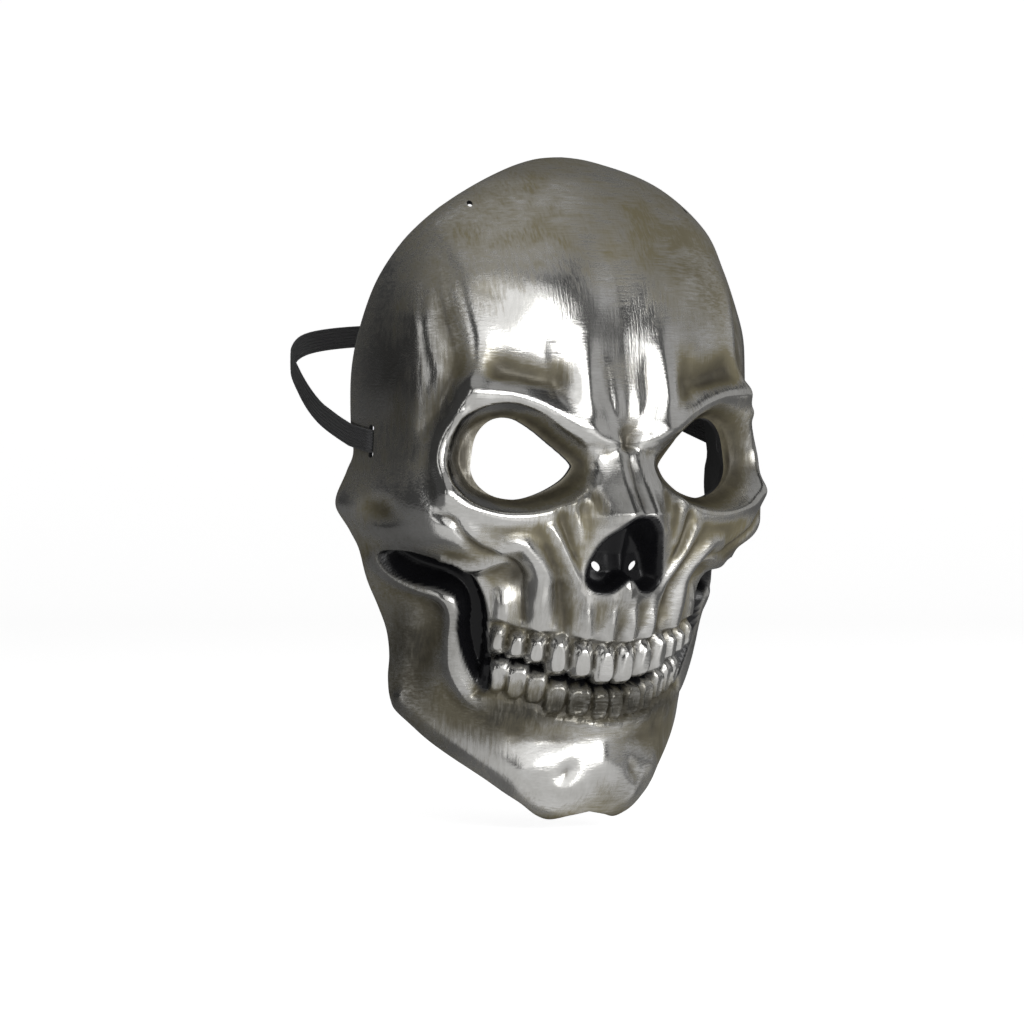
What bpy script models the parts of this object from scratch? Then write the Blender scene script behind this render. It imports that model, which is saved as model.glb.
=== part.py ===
# Skull mask: one formed plastic shell cut at its edge, with an elastic strap through two side slots.
# The face looks along -Y, +Z is up, +X is the wearer's left. The origin lies on the inside of the
# brow, between the eyes, where the mask rests on the forehead. Sizes are in millimetres. The tables
# measure depth from a plane in front of the brow, and BROW_INSIDE is how far the origin lies behind it.

import bmesh
import bpy
import numpy as np

MM = 0.001
WALL = 2.0
BROW_INSIDE = 3.3
FACES_IN_SHELL = 9200
GRID_ACROSS = 150
GRID_UP = 170

SLOT_AT = 105.0
SLOT_HEIGHT = 1.5
SLOT_WIDTH = 2.4
SLOT_LENGTH = 13.0
HANG_HOLE_AT = (46.0, 95.0)
HANG_HOLE_SIZE = 2.6
NOSTRIL_AT = (8.3, -48.0)
NOSTRIL_SIZE = 4.4

STRAP_WIDTH = 9.0
STRAP_THICKNESS = 1.0
STRAP_GAP = 0.4
STRAP_BEHIND = ((85.5, 93, 13), (80, 118, 25), (67, 146, 36), (43, 168, 43), (0, 179, 46))
KNOT_AT = 94.0
KNOT_WIDTH = 10.5
KNOT_THICKNESS = 6.0
KNOT_LENGTH = 9.0


def table(columns, *rows):
    """A short table: the named columns as arrays, one entry for each row."""
    names = columns.split()
    return {name: np.array([row[i] for row in rows], float) for i, name in enumerate(names)}


# The plain head form, a section for each height: the front on the midline, the half width and the
# depth of the side line, and how far the front and the side run on before they turn the corner.
HEAD = table(
    "height front half_width side front_reach side_reach",
    (-156, 37, 30, 50, .50, .50),
    (-148, 28, 35, 50, .50, .50),
    (-140, 21.5, 42, 55, .46, .50),
    (-130, 17, 50, 60, .40, .44),
    (-115, 15, 60, 66, .38, .42),
    (-105, 13.5, 66, 69, .36, .40),
    (-92, 9.5, 69.5, 70, .38, .42),
    (-80, 6.5, 72, 71, .42, .46),
    (-65, 3, 76, 72, .42, .46),
    (-53, 1.5, 79.5, 74, .46, .50),
    (-40, 2, 84, 76, .72, .76),
    (-22, 3, 88, 77, .81, .84),
    (0, 3, 87, 74, .80, .84),
    (25, 1.5, 87.5, 70, .70, .74),
    (49, 3.5, 85.5, 67, .66, .70),
    (71, 9.5, 80, 68, .68, .72),
    (88, 17.5, 72, 70, .70, .74),
    (100, 26.5, 60, 75, .74, .76),
    (108, 35, 50, 76, .72, .74),
    (115, 46, 43, 80, .60, .62),
    (122, 60, 36, 84, .60, .62),
)

# The cut edge of the left half: distance round the form from the midline, and height.
# It runs from the top of the forehead down the side to the corner of the jaw and under the chin.
EDGE_TOP = ((0, 115.4), (9, 114.7), (18, 112.4), (28, 108.7), (39, 104.3), (50, 99.4), (60.5, 94))
EDGE_SIDE = (
    (60.5, 94), (71.5, 87.5), (83, 79.8), (94, 70.3), (102, 61), (109, 49.3), (114, 37.5), (116.3, 25),
    (116, 8), (114.5, -3), (117.5, -10.5), (120.5, -21.5), (117, -33.5), (113, -41.5), (109, -53.5),
    (103, -63.5), (97.5, -73.5), (95.3, -84), (96, -94), (92.5, -101.5), (76, -114), (57.5, -125.5),
)
EDGE_CHIN = ((57.5, -125.5), (39, -136.6), (28, -142.3), (19, -147.3), (13, -149.2), (7, -147.8), (0, -146.4))

# Rounded swellings and hollows: place, height off the form, reach round and up, turn in degrees.
SWELLINGS = table(
    "across height rise reach_across reach_up turn",
    (24.5, 60, 2.4, 20, 19, 0),
    (36, 43, 1.4, 12, 11, 0),
    (0, 62, -1.2, 8, 20, 0),
    (0, 9, 4.8, 14, 15, 0),
    (58, 21, 2.0, 10, 9, 20),
    (77, 44, 1.4, 10, 14, 0),
    (66, 54, -.8, 6, 20, 0),
    (92, 8, -2.0, 13, 13, 0),
    (63, -27, 4.4, 15, 10, 0),
    (82, -24, 2.2, 13, 9, 0),
    (98, -26, -1.6, 8, 5, 0),
    (116, -22, 2.4, 9, 8, 0),
    (46, -52, -2.6, 9, 7, 0),
    (15, -137, 3.4, 12, 8, 0),
    (30, -129, 1.6, 9, 8, 0),
    (0, -128, 1.5, 9, 8, 0),
    (18, -129, -1.4, 3.4, 2.6, 30),
    (24, -117, -1.8, 12, 4.5, 0),
    (45, -107, 1.3, 3.5, 4.5, 20),
    (37, -113, -1.2, 4, 4, 0),
    (78, -82, -2.8, 8, 20, 10),
    (84, -101, 1.5, 8, 7, 0),
)

# Ridges and grooves, each drawn as a path: across, height, rise and half breadth at every point.
RIDGES = dict(
    brow=((58, 14, 2.4, 4.5), (53, 19, 3.8, 5), (41, 20, 3.8, 4.6), (31, 17.5, 3.6, 4.4),
          (22, 13, 3.4, 4.2), (15, 7.5, 3.4, 4), (9, 3, 3.2, 4), (3, .5, 1.8, 3.5)),
    over_brow=((50, 35, -.8, 5.4), (41, 29, -1.8, 5), (31, 26.5, -2, 4.4), (24, 24.5, -1.4, 3.8)),
    outer_orbit=((60, 11, 2.4, 4.4), (65.5, 3, 2.4, 4.4), (67.5, -6, 3.2, 4.8), (63, -17, 3, 5)),
    lower_orbit=((62, -18, 2.4, 5), (50, -25, 2.6, 4.2), (37, -28, 2.4, 4), (25, -26.5, 2.2, 4),
                 (16, -20, 2, 3.6)),
    temple_line=((43, 72, .3, 9), (54, 62, 1.1, 9), (53.5, 50, 1.6, 8), (51.5, 40, 2, 7), (51.5, 31, 2.4, 6),
                (55, 23, 2.4, 5)),
    behind_temple_line=((63, 64, -.6, 8), (64, 50, -1.2, 8), (62, 38, -1.8, 7), (62.5, 28, -2.2, 6),
                      (68, 18, -2.2, 6), (76, 8, -1.6, 6)),
    frown=((13, 43, .6, 5), (13.2, 35, 1.8, 4.8), (13.4, 26, 2.8, 4.6), (13.2, 17, 3, 4.4), (11, 9, 2, 4.2)),
    frown_crease=((0, 38, -.6, 5), (0, 26, -1.2, 4.4), (0, 16, -2, 3.6), (0, 7, -2.8, 2.6), (0, 0, -3, 2.2)),
    beside_frown=((24, 38, -.5, 3.4), (22.8, 30, -1.1, 3.2), (21.6, 21, -1.2, 3)),
    cheek_arch=((61, -33.5, 2, 6), (78, -35, 2.2, 5.5), (94.5, -33, 2, 5), (108.5, -30, 1.8, 5),
                (118, -24, 1.5, 5)),
    cheek_edge=((46, -44.5, 1.6, 2.4), (56, -47, 2.6, 2.6), (65.5, -47, 2.6, 2.8), (71, -45, 2.2, 2.6)),
    canine_root=((44, -41, 1.2, 3), (39, -38.5, 2.4, 3.4), (34.5, -39.5, 2.8, 3.8), (33.5, -46, 2.8, 4.2),
                (35.5, -55, 3, 4.4), (35.5, -66, 2.6, 4.2), (34.5, -76, 1.8, 4)),
    molar_root=((49.5, -58, 1.2, 3.6), (49, -66, 1.4, 3.6), (49.5, -74, 1, 3.4)),
    side_root=((17, -62, 1.2, 3.6), (16.5, -70, 2, 3.8), (16, -77, 1.6, 3.4)),
    front_root=((5, -63, 1, 3.4), (5.5, -71, 1.8, 3.6), (5.5, -78, 1.4, 3.4)),
    between_roots=((27.5, -58, -1.4, 3), (26, -66, -1.6, 2.6), (24.5, -76, -1.2, 2.2)),
    nose_spine=((0, -57, 1.8, 2.4), (0, -62, 1, 2.5), (0, -68, 0, 2.5), (0, -76, -.8, 2)),
    beside_nose=((24, -33, 2, 2.6), (21.5, -41, 2.6, 2.5), (22, -49, 2.2, 2.5), (21, -57, 1, 2.6)),
    nose_facet=((12.5, -11, .6, 1.6), (15.5, -18, 1.4, 1.8), (17, -24, 1.6, 2), (16.5, -31, 1.8, 2.2),
                (16, -38, 1.2, 2)),
    facet_groove=((20.5, -26, -1, 1.8), (18.8, -35, -1.6, 1.8), (18.8, -43, -1, 1.7)),
    jaw_back=((104.5, -46, 1.8, 3.5), (92.5, -52.5, 2.4, 3.2), (80, -57, 2.8, 3), (70.5, -60.5, 4, 3.6),
              (67.5, -68, 2.8, 3.2), (67, -77, 2.4, 3.2), (64.5, -88, 2.4, 3.4), (57.5, -98, 2.2, 3.2),
              (50.5, -103, 1.4, 3.2)),
    jaw_line=((86, -102, 1.8, 5), (70, -112, 2.2, 6), (53.5, -121, 2, 7), (34.5, -130, 1.6, 7)),
)

# The nose bone: how far the ridge stands off the form at each height, and its half breadth.
NOSE = table(
    "height rise half_breadth flat",
    (-72, 0, 14, 0), (-64, .8, 15, 0), (-58, 3, 15, 0), (-52, 4.4, 14, 0), (-46, 5.5, 12, 0),
    (-40, 10, 10, 1), (-34, 15.5, 8.5, 2.2), (-28, 16, 8.5, 2.6), (-22, 12.5, 9, 2.6),
    (-16, 8.8, 9, 2.4), (-10, 5.5, 8.5, 2), (-5, 2.8, 8, 1.6), (-1, .5, 8, 1.2),
)

# Outlines of the left half: the rim of the eye socket, the eye opening in it and the hollow
# between cheek and jaw. The nose hollow is given for its left half and mirrored.
SOCKET = (
    (63.5, -8), (62.5, 2), (56.5, 10), (46.5, 14.5), (37, 15.3), (27.5, 12), (19.5, 6), (11.5, -1.5),
    (8.5, -7), (10, -14), (15, -20), (23, -24), (34, -25.5), (45.5, -24), (56, -18.5),
)
EYE = (
    (52.5, -6.5), (50.5, 4), (44, 10), (35, 10.5), (26.5, 6), (19, -.5), (13.5, -7), (13.5, -10),
    (16.5, -14.5), (23, -19), (31.5, -21.5), (40.5, -20.5), (47.5, -16.5), (51.5, -11.5),
)
JAW_HOLLOW = (
    (101, -43), (93, -42), (84.5, -42.5), (76.5, -44.5), (69, -45.5), (63.5, -48), (60, -53.5), (56.7, -60.5),
    (55, -67), (54, -74), (52.5, -82), (51, -88), (49.5, -93), (50.5, -96.5), (54.5, -93), (59, -86),
    (62.2, -78.5), (64, -71.5), (64.3, -65), (66.5, -59), (72, -55.8), (79, -54.2), (86.5, -52.2), (96, -48),
)
NOSE_HOLLOW = (
    (0, -29.2), (2.4, -29.8), (6, -34), (8.8, -37.6), (12.2, -43.4), (16.8, -50), (17.6, -54), (15, -57),
    (10.5, -58), (6.5, -57), (3.4, -54.6), (0, -52.6),
)
NOSE_FLOOR = table("height rise", (-58, -3), (-50, -5), (-42, -4), (-34, 0), (-30, 4))
SOCKET_DEPTH = table("across depth", (10, 4), (22, 8), (40, 9.5), (60, 7.5))
JAW_HOLLOW_DEPTH = 8.0
SEPTUM = dict(rise=2.6, half_breadth=2.2)

# Teeth of the left half, from the front tooth back.
UPPER_TEETH = table(
    "across half_width gum tip",
    (5.4, 4.9, -79.5, -94.5), (16, 4.5, -78.2, -92), (26, 4.1, -75.5, -90.5),
    (34.3, 3.6, -75, -86), (41.9, 3.3, -73.5, -83.8), (49, 3, -70.5, -81.8),
)
LOWER_TEETH = table(
    "across half_width gum tip",
    (4.4, 3.8, -108.5, -98.3), (14.8, 4.7, -107, -96.8), (24.8, 3.9, -105.8, -95),
    (32.7, 3.3, -101.6, -91.2), (40, 3.3, -99.6, -88.4), (46.8, 2.8, -97, -86.6),
)
MOUTH_CORNER = 54.5
MOUTH_GAP_DEPTH = 6.0


def ease(start, end, value):
    """0 before start, 1 past end, and a smooth change between."""
    t = np.clip((value - start) / (end - start), 0, 1)
    return t * t * (3 - 2 * t)


def read(rows, column, against, at):
    """A table's column at any value of another column, along straight runs."""
    return np.interp(at, rows[against], rows[column])


def read_smooth(rows, column, against, at):
    """A table's column at any value of another column, along a smooth curve."""
    x, v = rows[against], rows[column]
    slope = np.gradient(v, x)
    i = np.clip(np.searchsorted(x, at) - 1, 0, len(x) - 2)
    h = x[i + 1] - x[i]
    t = np.clip((at - x[i]) / h, -.5, 1.5)
    start = (2 * t**3 - 3 * t**2 + 1) * v[i] + (t**3 - 2 * t**2 + t) * h * slope[i]
    return start + (3 * t**2 - 2 * t**3) * v[i + 1] + (t**3 - t**2) * h * slope[i + 1]


def smooth_path(rows, closed=False, steps=6):
    """A smooth curve through the rows, with every column carried along."""
    p = np.array(rows, float)
    count = len(p)
    out = []
    for i in range(count if closed else count - 1):
        if closed:
            a, b, c, d = (p[(i + k) % count] for k in (-1, 0, 1, 2))
        else:
            a, b, c, d = p[max(i - 1, 0)], p[i], p[i + 1], p[min(i + 2, count - 1)]
        for k in range(steps):
            t = k / steps
            bend = (c - a) * t + (2 * a - 5 * b + 4 * c - d) * t**2 + (3 * b - a - 3 * c + d) * t**3
            out.append(b + bend / 2)
    if not closed:
        out.append(p[-1])
    return np.array(out)


def nearest(across, height, path, closed=False):
    """Distance to a path, and the path's further columns at its nearest point."""
    best = np.full(across.shape, 1e9)
    values = [np.zeros(across.shape) for _ in range(path.shape[1] - 2)]
    for i in range(len(path) if closed else len(path) - 1):
        a, b = path[i], path[(i + 1) % len(path)]
        run = b[:2] - a[:2]
        t = ((across - a[0]) * run[0] + (height - a[1]) * run[1]) / (run @ run + 1e-9)
        t = np.clip(t, 0, 1)
        distance = np.hypot(across - a[0] - t * run[0], height - a[1] - t * run[1])
        nearer = distance < best
        best = np.where(nearer, distance, best)
        for k in range(len(values)):
            values[k] = np.where(nearer, a[2 + k] + t * (b[2 + k] - a[2 + k]), values[k])
    return best, values


def depth_in(across, height, outline):
    """How far a point lies inside a closed smooth outline, negative outside it."""
    path = smooth_path(outline, closed=True)
    within = np.zeros(across.shape, bool)
    for i in range(len(path)):
        a, b = path[i], path[(i + 1) % len(path)]
        if a[1] != b[1]:
            crossing = (b[0] - a[0]) * (height - a[1]) / (b[1] - a[1]) + a[0]
            within ^= ((a[1] > height) != (b[1] > height)) & (across < crossing)
    distance, _ = nearest(across, height, path, closed=True)
    return np.where(within, distance, -distance)


def mirrored(outline):
    """The full outline of a hollow that crosses the midline."""
    return tuple(outline) + tuple((-x, z) for x, z in reversed(outline[1:-1]))


def head_form(across, height):
    """The plain form under the features; across is the distance round it from the midline."""
    front, width, side, front_reach, side_reach = (
        read_smooth(HEAD, name, "height", height)
        for name in ("front", "half_width", "side", "front_reach", "side_reach"))
    deep = side - front
    girth = np.pi / 4 * (3 * (width + deep) - np.sqrt((3 * width + deep) * (width + 3 * deep))) * .97
    t = np.abs(across) / girth
    u = 1 - t
    x = width * (3 * u * u * t * front_reach + 3 * u * t * t + t**3)
    y = front + deep * (3 * u * t * t * (1 - side_reach) + t**3)
    past = t > 1
    x = np.where(past, width, x)
    y = np.where(past, side + np.abs(across) - girth, y)
    return np.stack([np.sign(across) * x, y, height + 0 * x], -1)


def head_normal(across, height, reach=.5):
    """Outward direction of the plain form."""
    round_it = head_form(across + reach, height) - head_form(across - reach, height)
    up_it = head_form(across, height + reach) - head_form(across, height - reach)
    normal = np.cross(round_it, up_it)
    return normal / np.linalg.norm(normal, axis=-1, keepdims=True)


def on_form(across, height, rise):
    """Points that stand off the plain form by the given rise."""
    return head_form(across, height) + head_normal(across, height) * np.asarray(rise)[..., None]


def swellings(across, height):
    rise = np.zeros(across.shape)
    for i in range(len(SWELLINGS["rise"])):
        row = {name: column[i] for name, column in SWELLINGS.items()}
        turn = np.radians(row["turn"])
        da, dh = across - row["across"], height - row["height"]
        u = (da * np.cos(turn) + dh * np.sin(turn)) / row["reach_across"]
        v = (dh * np.cos(turn) - da * np.sin(turn)) / row["reach_up"]
        rise += row["rise"] * np.exp(-u * u - v * v)
    return rise


def ridges(across, height):
    rise = np.zeros(across.shape)
    for rows in RIDGES.values():
        distance, (peak, half_breadth) = nearest(across, height, smooth_path(rows))
        rise += peak * np.exp(-(distance / half_breadth)**2)
    return rise


def nose_bone(across, height):
    """A bone with a flat back and a groove down its middle."""
    half_breadth, rise, flat = (
        read(NOSE, name, "height", height) for name in ("half_breadth", "rise", "flat"))
    rise = rise / (1 + (np.maximum(across - flat, 0) / half_breadth)**2)
    along = np.interp(height, (-31, -28, -7, -2), (0, 1, 1, 0))
    return rise + along * (.6 * np.exp(-((across - 3.2) / 2)**2) - .7 * np.exp(-(across / 1.2)**2))


def tooth_row(across, height, teeth, swell, depth):
    """Rounded tooth plates standing on a floor, each a little narrower at its root."""
    top = np.full(across.shape, -depth)
    for centre, half_width, gum, tip in zip(*(teeth[n] for n in ("across", "half_width", "gum", "tip"))):
        half_height = abs(gum - tip) / 2
        v = np.clip((height - (gum + tip) / 2) / half_height * np.sign(gum - tip), -1.6, 1.6)
        u = (across - centre) / (half_width * (1 - .16 * np.clip(v, -1, 1)))
        off = ((np.abs(u)**3.2 + np.abs(v)**3.2)**(1 / 3.2) - 1) * min(half_width, half_height)
        top = np.maximum(top, swell * (1 - np.exp(np.minimum(off, 9) / 1.5)))
    return top


def mouth(across, height, rise):
    """Two rows of teeth with a dark gap between them, set in the band between the gums."""
    lines = {}
    for name, teeth in (("upper", UPPER_TEETH), ("lower", LOWER_TEETH)):
        lines[name + "_gum"] = read(teeth, "gum", "across", across)
        lines[name + "_tip"] = read(teeth, "tip", "across", across)
    in_band = np.minimum(lines["upper_gum"] + 1.5 - height, height - lines["lower_gum"] + 1.5)
    in_band = np.minimum(in_band, MOUTH_CORNER - across)
    in_gap = np.minimum(lines["upper_tip"] - height, height - lines["lower_tip"]) + 1.2
    gap = ease(.4, 2, in_gap)
    floor = -1.6 * (1 - gap) - MOUTH_GAP_DEPTH * gap
    teeth = np.maximum(tooth_row(across, height, UPPER_TEETH, 2.2, 9.0),
                       tooth_row(across, height, LOWER_TEETH, 1.9, 9.0))
    blend = ease(-1.2, 1.6, in_band)
    return rise * (1 - blend) + np.maximum(teeth, floor) * blend


def relief(signed_across, height):
    """How far the surface stands off the plain form."""
    across = np.abs(signed_across)
    rise = swellings(across, height) + ridges(across, height) + nose_bone(across, height)
    sink = ease(-1.5, 4.5, depth_in(across, height, SOCKET))
    rise = rise * (1 - sink) - sink * read(SOCKET_DEPTH, "depth", "across", across)
    sink = ease(-1, 2.4, depth_in(across, height, JAW_HOLLOW))
    rise = rise * (1 - sink) - sink * JAW_HOLLOW_DEPTH
    rise = mouth(across, height, rise)
    sink = ease(-.3, 3, depth_in(signed_across, height, mirrored(NOSE_HOLLOW)))
    septum = SEPTUM["rise"] * np.exp(-(across / SEPTUM["half_breadth"])**2)
    return rise * (1 - sink) + sink * (read(NOSE_FLOOR, "rise", "height", height) + septum)


def sheet_places():
    """A grid of places over the cut outline, blended in from its four sides."""
    def even(rows, count):
        path = smooth_path(rows, steps=12)
        run = np.concatenate([[0], np.cumsum(np.linalg.norm(np.diff(path, axis=0), axis=1))])
        at = np.linspace(0, run[-1], count)
        return np.stack([np.interp(at, run, path[:, k]) for k in (0, 1)], -1)

    half = GRID_ACROSS // 2
    top = even(EDGE_TOP, half + 1)
    chin = even(EDGE_CHIN, half + 1)[::-1]
    side = even(EDGE_SIDE, GRID_UP + 1)[::-1]
    flip = np.array([-1, 1])
    top = np.concatenate([top[:0:-1] * flip, top])
    chin = np.concatenate([chin[:0:-1] * flip, chin])
    b = np.linspace(0, 1, GRID_UP + 1)[:, None, None]
    a = np.linspace(0, 1, 2 * half + 1)[None, :, None]
    rows = (1 - b) * chin[None] + b * top[None]
    columns = (1 - a) * (side * flip)[:, None] + a * side[:, None]
    corners = (1 - b) * ((1 - a) * chin[0] + a * chin[-1]) + b * ((1 - a) * top[0] + a * top[-1])
    return np.moveaxis(rows + columns - corners, -1, 0)


def inner_relief(across, height, rise):
    """The inside of the wall: nowhere nearer to the outside than the wall's thickness."""
    inner = rise - WALL
    reach = 3
    ups, rounds = rise.shape
    for i in range(-reach, reach + 1):
        for j in range(-reach, reach + 1):
            rows = np.clip(np.arange(ups) + i, 0, ups - 1)[:, None]
            columns = np.clip(np.arange(rounds) + j, 0, rounds - 1)[None]
            away = np.hypot(across[rows, columns] - across, height[rows, columns] - height)
            ball = rise[rows, columns] - np.sqrt(np.maximum(WALL**2 - away**2, 0))
            inner = np.where(away < WALL, np.minimum(inner, ball), inner)
    return inner


def mesh_object(name, points, faces, finish):
    """A closed piece with its faces turned outwards."""
    mesh = bpy.data.meshes.new(name)
    placed = (np.asarray(points) - (0, BROW_INSIDE, 0)) * MM
    mesh.from_pydata(placed.tolist(), [], faces)
    work = bmesh.new()
    work.from_mesh(mesh)
    bmesh.ops.recalc_face_normals(work, faces=work.faces[:])
    work.to_mesh(mesh)
    work.free()
    if finish:
        mesh.materials.append(finish)
    made = bpy.data.objects.new(name, mesh)
    bpy.context.scene.collection.objects.link(made)
    return made


def material(name, color, metallic, roughness):
    made = bpy.data.materials.new(name)
    made.use_nodes = True
    shader = made.node_tree.nodes["Principled BSDF"]
    shader.inputs["Base Color"].default_value = (*color, 1)
    shader.inputs["Metallic"].default_value = metallic
    shader.inputs["Roughness"].default_value = roughness
    return made


def shell_mesh(finish):
    """Outer and inner skins from one grid, joined round the cut edge."""
    across, height = sheet_places()
    rise = relief(across, height)
    outer = on_form(across, height, rise)
    inner = on_form(across, height, inner_relief(across, height, rise))
    ups, rounds = rise.shape
    grid = np.arange(ups * rounds).reshape(ups, rounds)
    a, b, c, d = grid[:-1, :-1], grid[:-1, 1:], grid[1:, 1:], grid[1:, :-1]
    quads = np.stack([a, b, c, d], -1).reshape(-1, 4)
    behind = quads[:, ::-1] + ups * rounds
    edge = np.concatenate([grid[0, :-1], grid[:-1, -1], grid[-1, :0:-1], grid[:0:-1, 0]])
    after = np.roll(edge, -1)
    rim = np.stack([edge, edge + ups * rounds, after + ups * rounds, after], -1)
    faces = np.concatenate([quads, behind, rim]).tolist()
    points = np.concatenate([outer.reshape(-1, 3), inner.reshape(-1, 3)])
    return mesh_object("mask_shell", points, faces, finish)


def cutter(name, across, height, front_out, back_out):
    """A straight cutter through the wall, over an outline drawn on the outer surface."""
    along = head_normal(across.mean(), height.mean())
    start = on_form(across, height, relief(across, height))
    count = len(across)
    sides = [[i, (i + 1) % count, (i + 1) % count + count, i + count] for i in range(count)]
    ends = [list(range(count))[::-1], list(range(count, 2 * count))]
    points = np.concatenate([start + along * front_out, start - along * back_out])
    made = mesh_object(name, points, sides + ends, None)
    made.hide_render = True
    made.display_type = "WIRE"
    made.hide_set(True)
    return made


def round_outline(centre, size, sides=12):
    turn = np.arange(sides) * 2 * np.pi / sides
    return centre[0] + np.cos(turn) * size / 2, centre[1] + np.sin(turn) * size / 2


def slot_outline(centre, width, length, sides=10):
    """A slot with round ends, its length up the side."""
    turn = np.linspace(0, np.pi, sides // 2 + 1)
    r = width / 2
    top = np.stack([r * np.cos(turn), r * np.sin(turn) + length / 2 - r])
    low = np.stack([-r * np.cos(turn), -r * np.sin(turn) - length / 2 + r])
    return tuple(np.array(centre)[:, None] + np.concatenate([top, low], 1))


def cut(shell, tool):
    modifier = shell.modifiers.new("cut " + tool.name, "BOOLEAN")
    modifier.operation = "DIFFERENCE"
    modifier.solver = "EXACT"
    modifier.object = tool


def cut_openings(shell):
    """Eyes, nostrils, strap slots and hanging holes, on both sides."""
    eye = smooth_path(EYE, closed=True, steps=3).T
    outlines = dict(
        eye=(eye, 16, 18),
        nostril=(round_outline(NOSTRIL_AT, NOSTRIL_SIZE), 10, 12),
        slot=(slot_outline((SLOT_AT, SLOT_HEIGHT), SLOT_WIDTH, SLOT_LENGTH), 6, 8),
        hanging_hole=(round_outline(HANG_HOLE_AT, HANG_HOLE_SIZE, 8), 5, 8),
    )
    for name, ((across, height), front_out, back_out) in outlines.items():
        cut(shell, cutter(name + "_left", across, height, front_out, back_out))
        cut(shell, cutter(name + "_right", -across[::-1], height[::-1], front_out, back_out))


def thin_faces(shell):
    """Fewer faces where the form is plain."""
    modifier = shell.modifiers.new("fewer faces", "DECIMATE")
    modifier.ratio = FACES_IN_SHELL / (4.0 * GRID_ACROSS * GRID_UP)
    modifier.use_collapse_triangulate = True


def strap_route():
    """Middle line of the strap's left half, with the band's width and thickness at each point.

    It starts in the knot inside the shell, turns out through the slot, lies back over the cut edge
    and goes round the head to the middle of the back.
    """
    turn_in = SLOT_AT - SLOT_WIDTH / 2
    turn_out = SLOT_AT + SLOT_WIDTH / 2
    bend = SLOT_WIDTH / 2
    knot_off = -WALL - KNOT_THICKNESS / 2 - STRAP_GAP
    beside = [(KNOT_AT + k * KNOT_LENGTH / 2, knot_off) for k in (-1, -.7, 0, .7, 1)]
    beside += [(turn_in - 2.5, -WALL - bend - 1.2)]
    for turn in np.radians((-90, -60, -30, 0)):
        beside.append((turn_in + bend * np.cos(turn), -WALL + bend * np.sin(turn)))
    for turn in np.radians((180, 150, 120, 90)):
        beside.append((turn_out + bend * np.cos(turn), bend * np.sin(turn)))
    beside += [(turn_out + 4, bend), (turn_out + 8.5, bend)]
    across, off = np.array(beside).T
    climb = np.interp(across, (SLOT_AT, turn_out, turn_out + 8.5), (0, .3, 2.6))
    height = SLOT_HEIGHT + climb
    lift = relief(across, height) + off
    on_shell = on_form(across, height, lift)
    steps = 5
    past_middle = np.array(STRAP_BEHIND[-2]) * (-1, 1, 1)
    corners = [on_shell[-2], on_shell[-1], *STRAP_BEHIND, past_middle]
    behind = smooth_path(corners, steps=steps)[steps + 1:-steps]
    route = np.concatenate([on_shell, behind])
    width = np.full(len(route), STRAP_WIDTH)
    thickness = np.full(len(route), STRAP_THICKNESS)
    width[:5] = KNOT_WIDTH * np.array((.55, .9, 1, .9, .75))
    thickness[:5] = KNOT_THICKNESS * np.array((.45, .85, 1, .8, .4))
    return route, width, thickness


def strap_mesh(finish):
    """A flat band swept round the head, swelling into a knot at each end."""
    route, width, thickness = strap_route()
    mirror = np.array([-1, 1, 1])
    route = np.concatenate([route, (route * mirror)[-2::-1]])
    width = np.concatenate([width, width[-2::-1]])
    thickness = np.concatenate([thickness, thickness[-2::-1]])
    along = np.gradient(route, axis=0)
    along /= np.linalg.norm(along, axis=1, keepdims=True)
    up = np.array([0, 0, 1.0]) - along * along[:, 2:]
    up /= np.linalg.norm(up, axis=1, keepdims=True)
    out = np.cross(along, up)
    trim = .3 * np.minimum(width, thickness)
    half_width, half_thickness = width / 2, thickness / 2
    section = []
    for u, v, cut_u, cut_v in ((1, 1, 0, 1), (1, 1, 1, 0), (-1, 1, 1, 0), (-1, 1, 0, 1),
                               (-1, -1, 0, 1), (-1, -1, 1, 0), (1, -1, 1, 0), (1, -1, 0, 1)):
        section.append(up * (u * (half_width - cut_u * trim))[:, None]
                       + out * (v * (half_thickness - cut_v * trim))[:, None])
    rings = route[:, None] + np.stack(section, 1)
    count, sides = rings.shape[:2]
    faces = []
    for ring in range(count - 1):
        low, high = ring * sides, (ring + 1) * sides
        faces += [[low + k, low + (k + 1) % sides, high + (k + 1) % sides, high + k] for k in range(sides)]
    faces.append([k for k in range(sides)][::-1])
    faces.append([(count - 1) * sides + k for k in range(sides)])
    return mesh_object("elastic_strap", rings.reshape(-1, 3), faces, finish)


def main():
    for item in list(bpy.data.objects):
        bpy.data.objects.remove(item, do_unlink=True)
    shell = shell_mesh(material("gunmetal_paint", (.36, .35, .32), .9, .28))
    thin_faces(shell)
    cut_openings(shell)
    strap_mesh(material("black_elastic", (.02, .02, .022), 0, .75))


main()
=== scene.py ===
import bpy
import numpy as np
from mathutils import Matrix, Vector, kdtree


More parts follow.
